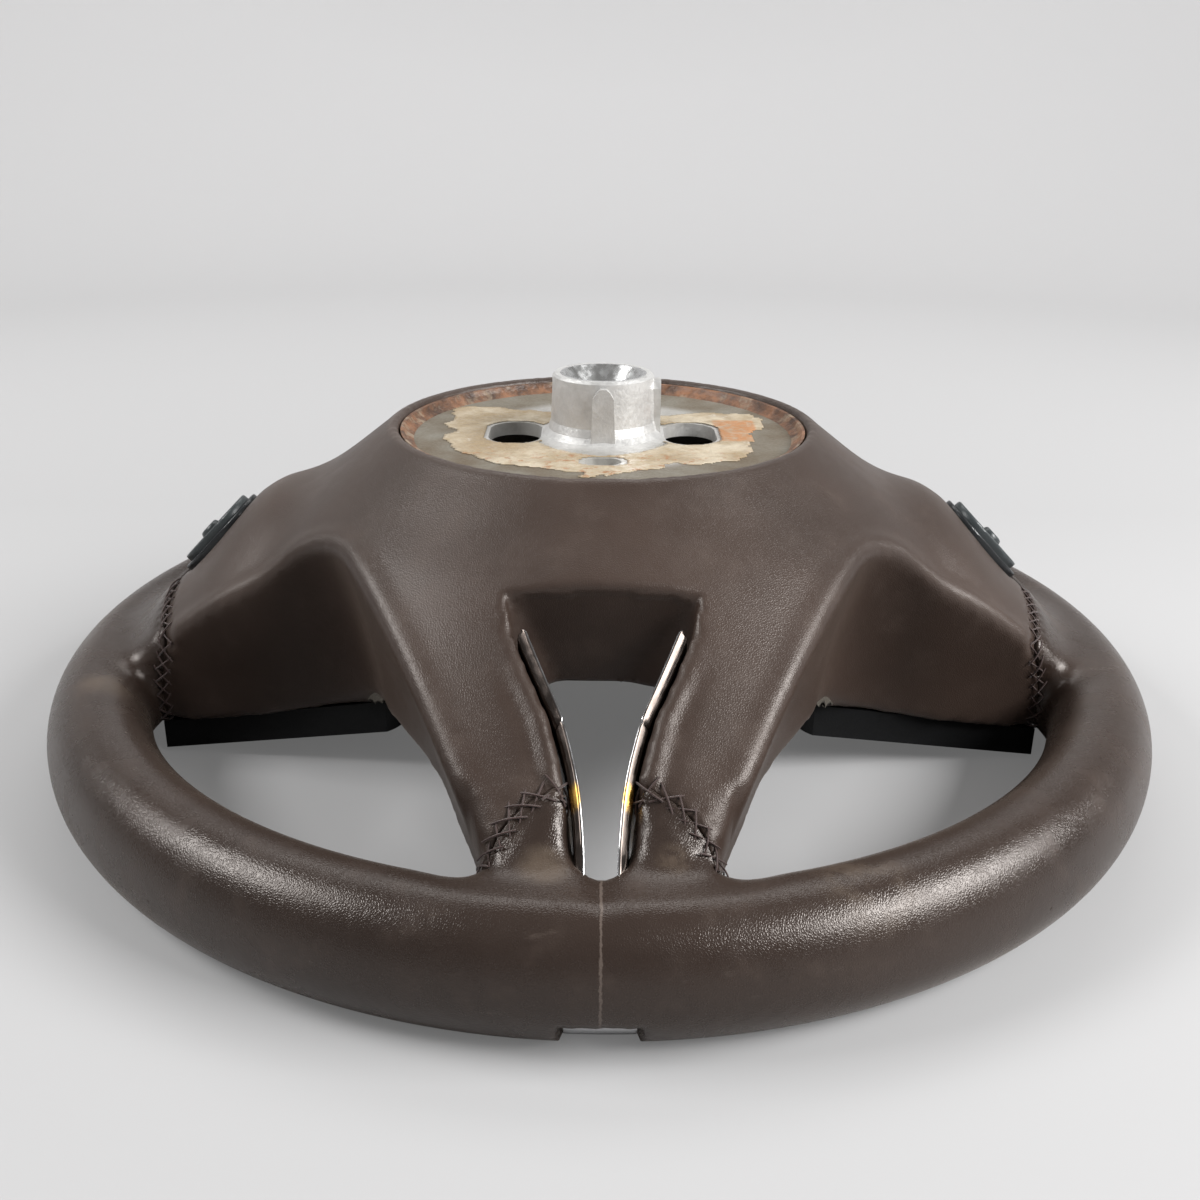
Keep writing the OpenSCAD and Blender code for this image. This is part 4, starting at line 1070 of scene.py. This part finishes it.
thread, tree, shader, place = new_material("seam_thread", 0.6, Sheen_Weight=0.3)
twist = grained(tree, shader, place, 1800, (0.020, 0.0085, 0.0065), (0.060, 0.026, 0.020))
bumped(tree, shader, twist, 0.0002, 0.6)
sewing = stitch_tree(thread)
sockets = {item.name: item.identifier for item in sewing.interface.items_tree if item.in_out == "INPUT"}
for number, (line, count) in enumerate(stitch_paths):
    seam_thread = bpy.data.meshes.new(f"seam_thread_{number}")
    steps = [(i, i + 1) for i in range(len(line) - 1)]
    seam_thread.from_pydata((line[:, :3] * 0.001).tolist(), steps, [])
    facing = seam_thread.attributes.new("surface_normal", "FLOAT_VECTOR", "POINT")
    facing.data.foreach_set("vector", line[:, 3:].ravel())
    stitches = bpy.data.objects.new(f"seam_thread_{number}", seam_thread)
    bpy.context.scene.collection.objects.link(stitches)
    sewn = stitches.modifiers.new("sewn", "NODES")
    sewn.node_group = sewing
    sewn[sockets["Count"]] = count
    sewn[sockets["Pitch"]] = len(line) * PATH_STEP * 0.001 / (count - 1) * STITCH_OVERLAP
    sewn[sockets["Width"]] = STITCH_WIDTH * 0.001
    sewn[sockets["Seed"]] = number + 3
    baked(stitches)
    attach(stitches, "wheel")

# Ring of old adhesive between plate and lip: rust brown, laid by hand in lumps.
rust, tree, shader, place = new_material("adhesive", 0.42)
lump = tree.noise(place, 160, 5, 0.65)
rusty = tree.blend(tree.window(lump, 0.3, 0.7), (0.050, 0.024, 0.013), (0.25, 0.115, 0.055))
flake = tree.window(tree.noise(place, 90, 4, 0.7), 0.50, 0.64, 0, 0.75)
tree.feed(shader, Base_Color=tree.blend(flake, rusty, (0.30, 0.235, 0.165)))
bumped(tree, shader, lump, 0.0014, 0.9)
dress(rust, "adhesive_ring")

# Bright trim along the gap: formed steel strips, chromium plated, their edges rolled round.
# Two short ones above, and a fork below whose legs cross the rim's front in its notch.
# The first colour is painted reflection: a dark brown laid on the strips where they would mirror the leather
# beside them.
PAINTED_LEATHER_REFLECTION, AMBER = (0.085, 0.070, 0.062), (0.62, 0.36, 0.08)
FORK_TOP_Z = 0.031
chrome, tree, shader, place = new_material("polished_trim", 0.2, Metallic=1.0)
y = tree.axes(place)[1]
stain = tree.times(tree.window(y, -0.1505, -0.1475), tree.window(y, -0.1435, -0.1460), 0.85)
plating_and_painted_reflection = tree.blend(tree.noise(place, 90, 3), (0.70, 0.70, 0.71), (0.80, 0.80, 0.81))
# Painted reflection: each strip's colour goes to dark brown on the outer slope of its top and partly down its
# inner wall, by the point attribute that strip() sets.
slope = tree.add("ShaderNodeAttribute", attribute_name="slope").outputs["Fac"]
plating_and_painted_reflection = tree.blend(slope, plating_and_painted_reflection, PAINTED_LEATHER_REFLECTION)
smear = tree.noise(place, 240, 4)
tree.feed(shader, Base_Color=tree.blend(stain, plating_and_painted_reflection, AMBER),
          Roughness=tree.window(smear, 0.35, 0.75, 0.13, 0.27))


def rounded_off(piece, voxel, rounds):
    """Gives a piece a skin of small faces and wears its edges round."""
    remeshed(piece, voxel)
    points = smoothed(coordinates(piece.data), edge_pairs(piece.data), 0.5, rounds)
    piece.data.vertices.foreach_set("co", points.ravel())
    piece.data.update()


def softened(node, voxel, rounds, body, finish):
    """A copy of a CAD solid with its edges rounded, which then stands for it."""
    solid = bpy.data.objects.new(node + "_formed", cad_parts[node].data.copy())
    bpy.context.scene.collection.objects.link(solid)
    solid.data.materials.clear()
    rounded_off(solid, voxel, rounds)
    solid.data.materials.append(finish)
    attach(solid, body)
    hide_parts(node)
    return solid


STRIP_SECTION = ((0, -15), (0, -2.3), (0.2, -1.75), (0.9, -1.0), (1.55, -0.35), (1.85, -0.08),
                 (2.15, -0.02), (2.45, -0.2), (2.6, -0.6), (2.6, -15))
STRIP_SUNK, STRIP_PLAY = 1.3, 1.3
STRIP_TIP = 1.4
strip_y = np.linspace(-90, -175, 341)
strip_x = gap_edge(strip_y, GAP[:-1])
strip_x = np.convolve(np.pad(strip_x, 24, "edge"), soft / soft.sum(), "valid")
strip_top = rear_height(6.7, strip_y) - STRIP_SUNK


def strip(side, start, stop, grow):
    """One polished strip between two heights of the gap, its ends rounded; side is 1 right and -1 left."""
    run = abs(stop - start)
    tip = np.array([0, 0.08, 0.25, 0.55, 0.95, STRIP_TIP])
    along = np.concatenate([tip, np.linspace(2, run - 2, int(run / 0.8)), run - tip[::-1]])
    near_end = np.minimum(along, run - along)
    width = np.sqrt(np.clip(1 - (1 - np.clip(near_end / STRIP_TIP, 0, 1)) ** 2, 0.04, 1)) * grow
    points, faces = [], []
    for s, w in zip(along, width):
        y = start - s
        edge, top = np.interp(-y, -strip_y, strip_x), np.interp(-y, -strip_y, strip_top)
        for u, v in STRIP_SECTION:
            inset = STRIP_PLAY + (u - STRIP_PLAY) * w
            points.append((side * (edge - inset), y, top + v - (1 - min(w, 1)) * 0.8))
    count = len(STRIP_SECTION)
    for k in range(len(along) - 1):
        for i in range(count):
            j = (i + 1) % count
            faces.append((k * count + i, k * count + j, (k + 1) * count + j, (k + 1) * count + i))
    last = (len(along) - 1) * count
    faces += [tuple(reversed(range(count))), tuple(range(last, last + count))]
    if side < 0:
        faces = [tuple(reversed(f)) for f in faces]
    made = mesh_object("strip", np.array(points) * 0.001, faces)
    # Painted reflection share at each section point: full on the outer slope of the top, about half at the
    # inner top and at the inner wall's foot, none at the rounded inner edge.
    painted_reflection_share = [1.0 if 1 <= i <= 5 else 0.55 if i in (6, 9) else 0.0 for i in range(count)]
    made.data.attributes.new("slope", "FLOAT", "POINT").data.foreach_set("value", painted_reflection_share * len(along))
    work = bmesh.new()
    work.from_mesh(made.data)
    bmesh.ops.recalc_face_normals(work, faces=work.faces)
    work.to_mesh(made.data)
    work.free()
    return made


def joined(name, pieces):
    """One piece of several closed bodies."""
    work = bmesh.new()
    for piece in pieces:
        work.from_mesh(piece.data)
        bpy.data.objects.remove(piece)
    mesh = bpy.data.meshes.new(name)
    work.to_mesh(mesh)
    work.free()
    mesh.polygons.foreach_set("use_smooth", [True] * len(mesh.polygons))
    made = bpy.data.objects.new(name, mesh)
    bpy.context.scene.collection.objects.link(made)
    return made


# The fork's legs and the band across the rim's front keep the CAD solid's form, with softer edges
legs = bpy.data.objects.new("legs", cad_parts["lower_trim"].data.copy())
bpy.context.scene.collection.objects.link(legs)
legs.data.materials.clear()
work = bmesh.new()
work.from_mesh(legs.data)
bmesh.ops.remove_doubles(work, verts=work.verts, dist=1e-6)
bmesh.ops.bisect_plane(work, geom=work.verts[:] + work.edges[:] + work.faces[:], plane_co=(0, 0, FORK_TOP_Z),
                       plane_no=(0, 0, 1), clear_outer=True)
bmesh.ops.holes_fill(work, edges=[e for e in work.edges if e.is_boundary], sides=0)
work.to_mesh(legs.data)
work.free()
rounded_off(legs, 0.0005, 5)
UPPER_STRIP, LOWER_STRIP = (-110.2, -131.6, 1.08), (-131.0, -163, 1.0)
for node, bodies in (("upper_trim_left", [strip(-1, *UPPER_STRIP)]),
                     ("upper_trim_right", [strip(1, *UPPER_STRIP)]),
                     ("lower_trim", [legs, strip(-1, *LOWER_STRIP), strip(1, *LOWER_STRIP)])):
    formed = joined(node + "_formed", bodies)
    formed.data.materials.append(chrome)
    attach(formed, "wheel")
    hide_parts(node)

# Front housings and thumb controls: moulded black plastic.
black, tree, shader, place = new_material("housing_plastic", 0.5, Specular_IOR_Level=0.3)
spark = grained(tree, shader, place, 1500, (0.0045, 0.0045, 0.005), (0.010, 0.0105, 0.011))
bumped(tree, shader, spark, 0.0001, 0.5)
dress(black, "switch_panel_left", "switch_panel_right", "menu_pad", "volume_pad", "menu_key_upper",
      "menu_key_lower", "call_key_upper", "call_key_lower")

# Shift rockers and their surrounds: moulded in a satin grey-green black, edges rounded,
# the rocker dished like a thumb rest and loose in its surround.
satin, tree, shader, place = new_material("rocker_plastic", 0.34)
fine = grained(tree, shader, place, 1400, (0.030, 0.036, 0.038), (0.050, 0.058, 0.060))
bumped(tree, shader, fine, 0.00006, 0.4)
edging, tree, shader, place = new_material("bezel_plastic", 0.30)
fine = grained(tree, shader, place, 1400, (0.008, 0.009, 0.010), (0.018, 0.020, 0.022))
bumped(tree, shader, fine, 0.00006, 0.4)
for side in ("left", "right"):
    softened("shift_rocker_" + side, 0.0005, 8, side + "_rocker", satin)
    softened("shift_bezel_" + side, 0.0005, 4, "wheel", edging)

# Steel pins and screws
steel, tree, shader, place = new_material("dark_steel", 0.35, Metallic=1.0)
grained(tree, shader, place, 500, (0.16, 0.16, 0.17), (0.30, 0.30, 0.31))
dress(steel, "panel_screws", "pad_pin_left", "pad_pin_right", "rocker_pin_left", "rocker_pin_right")
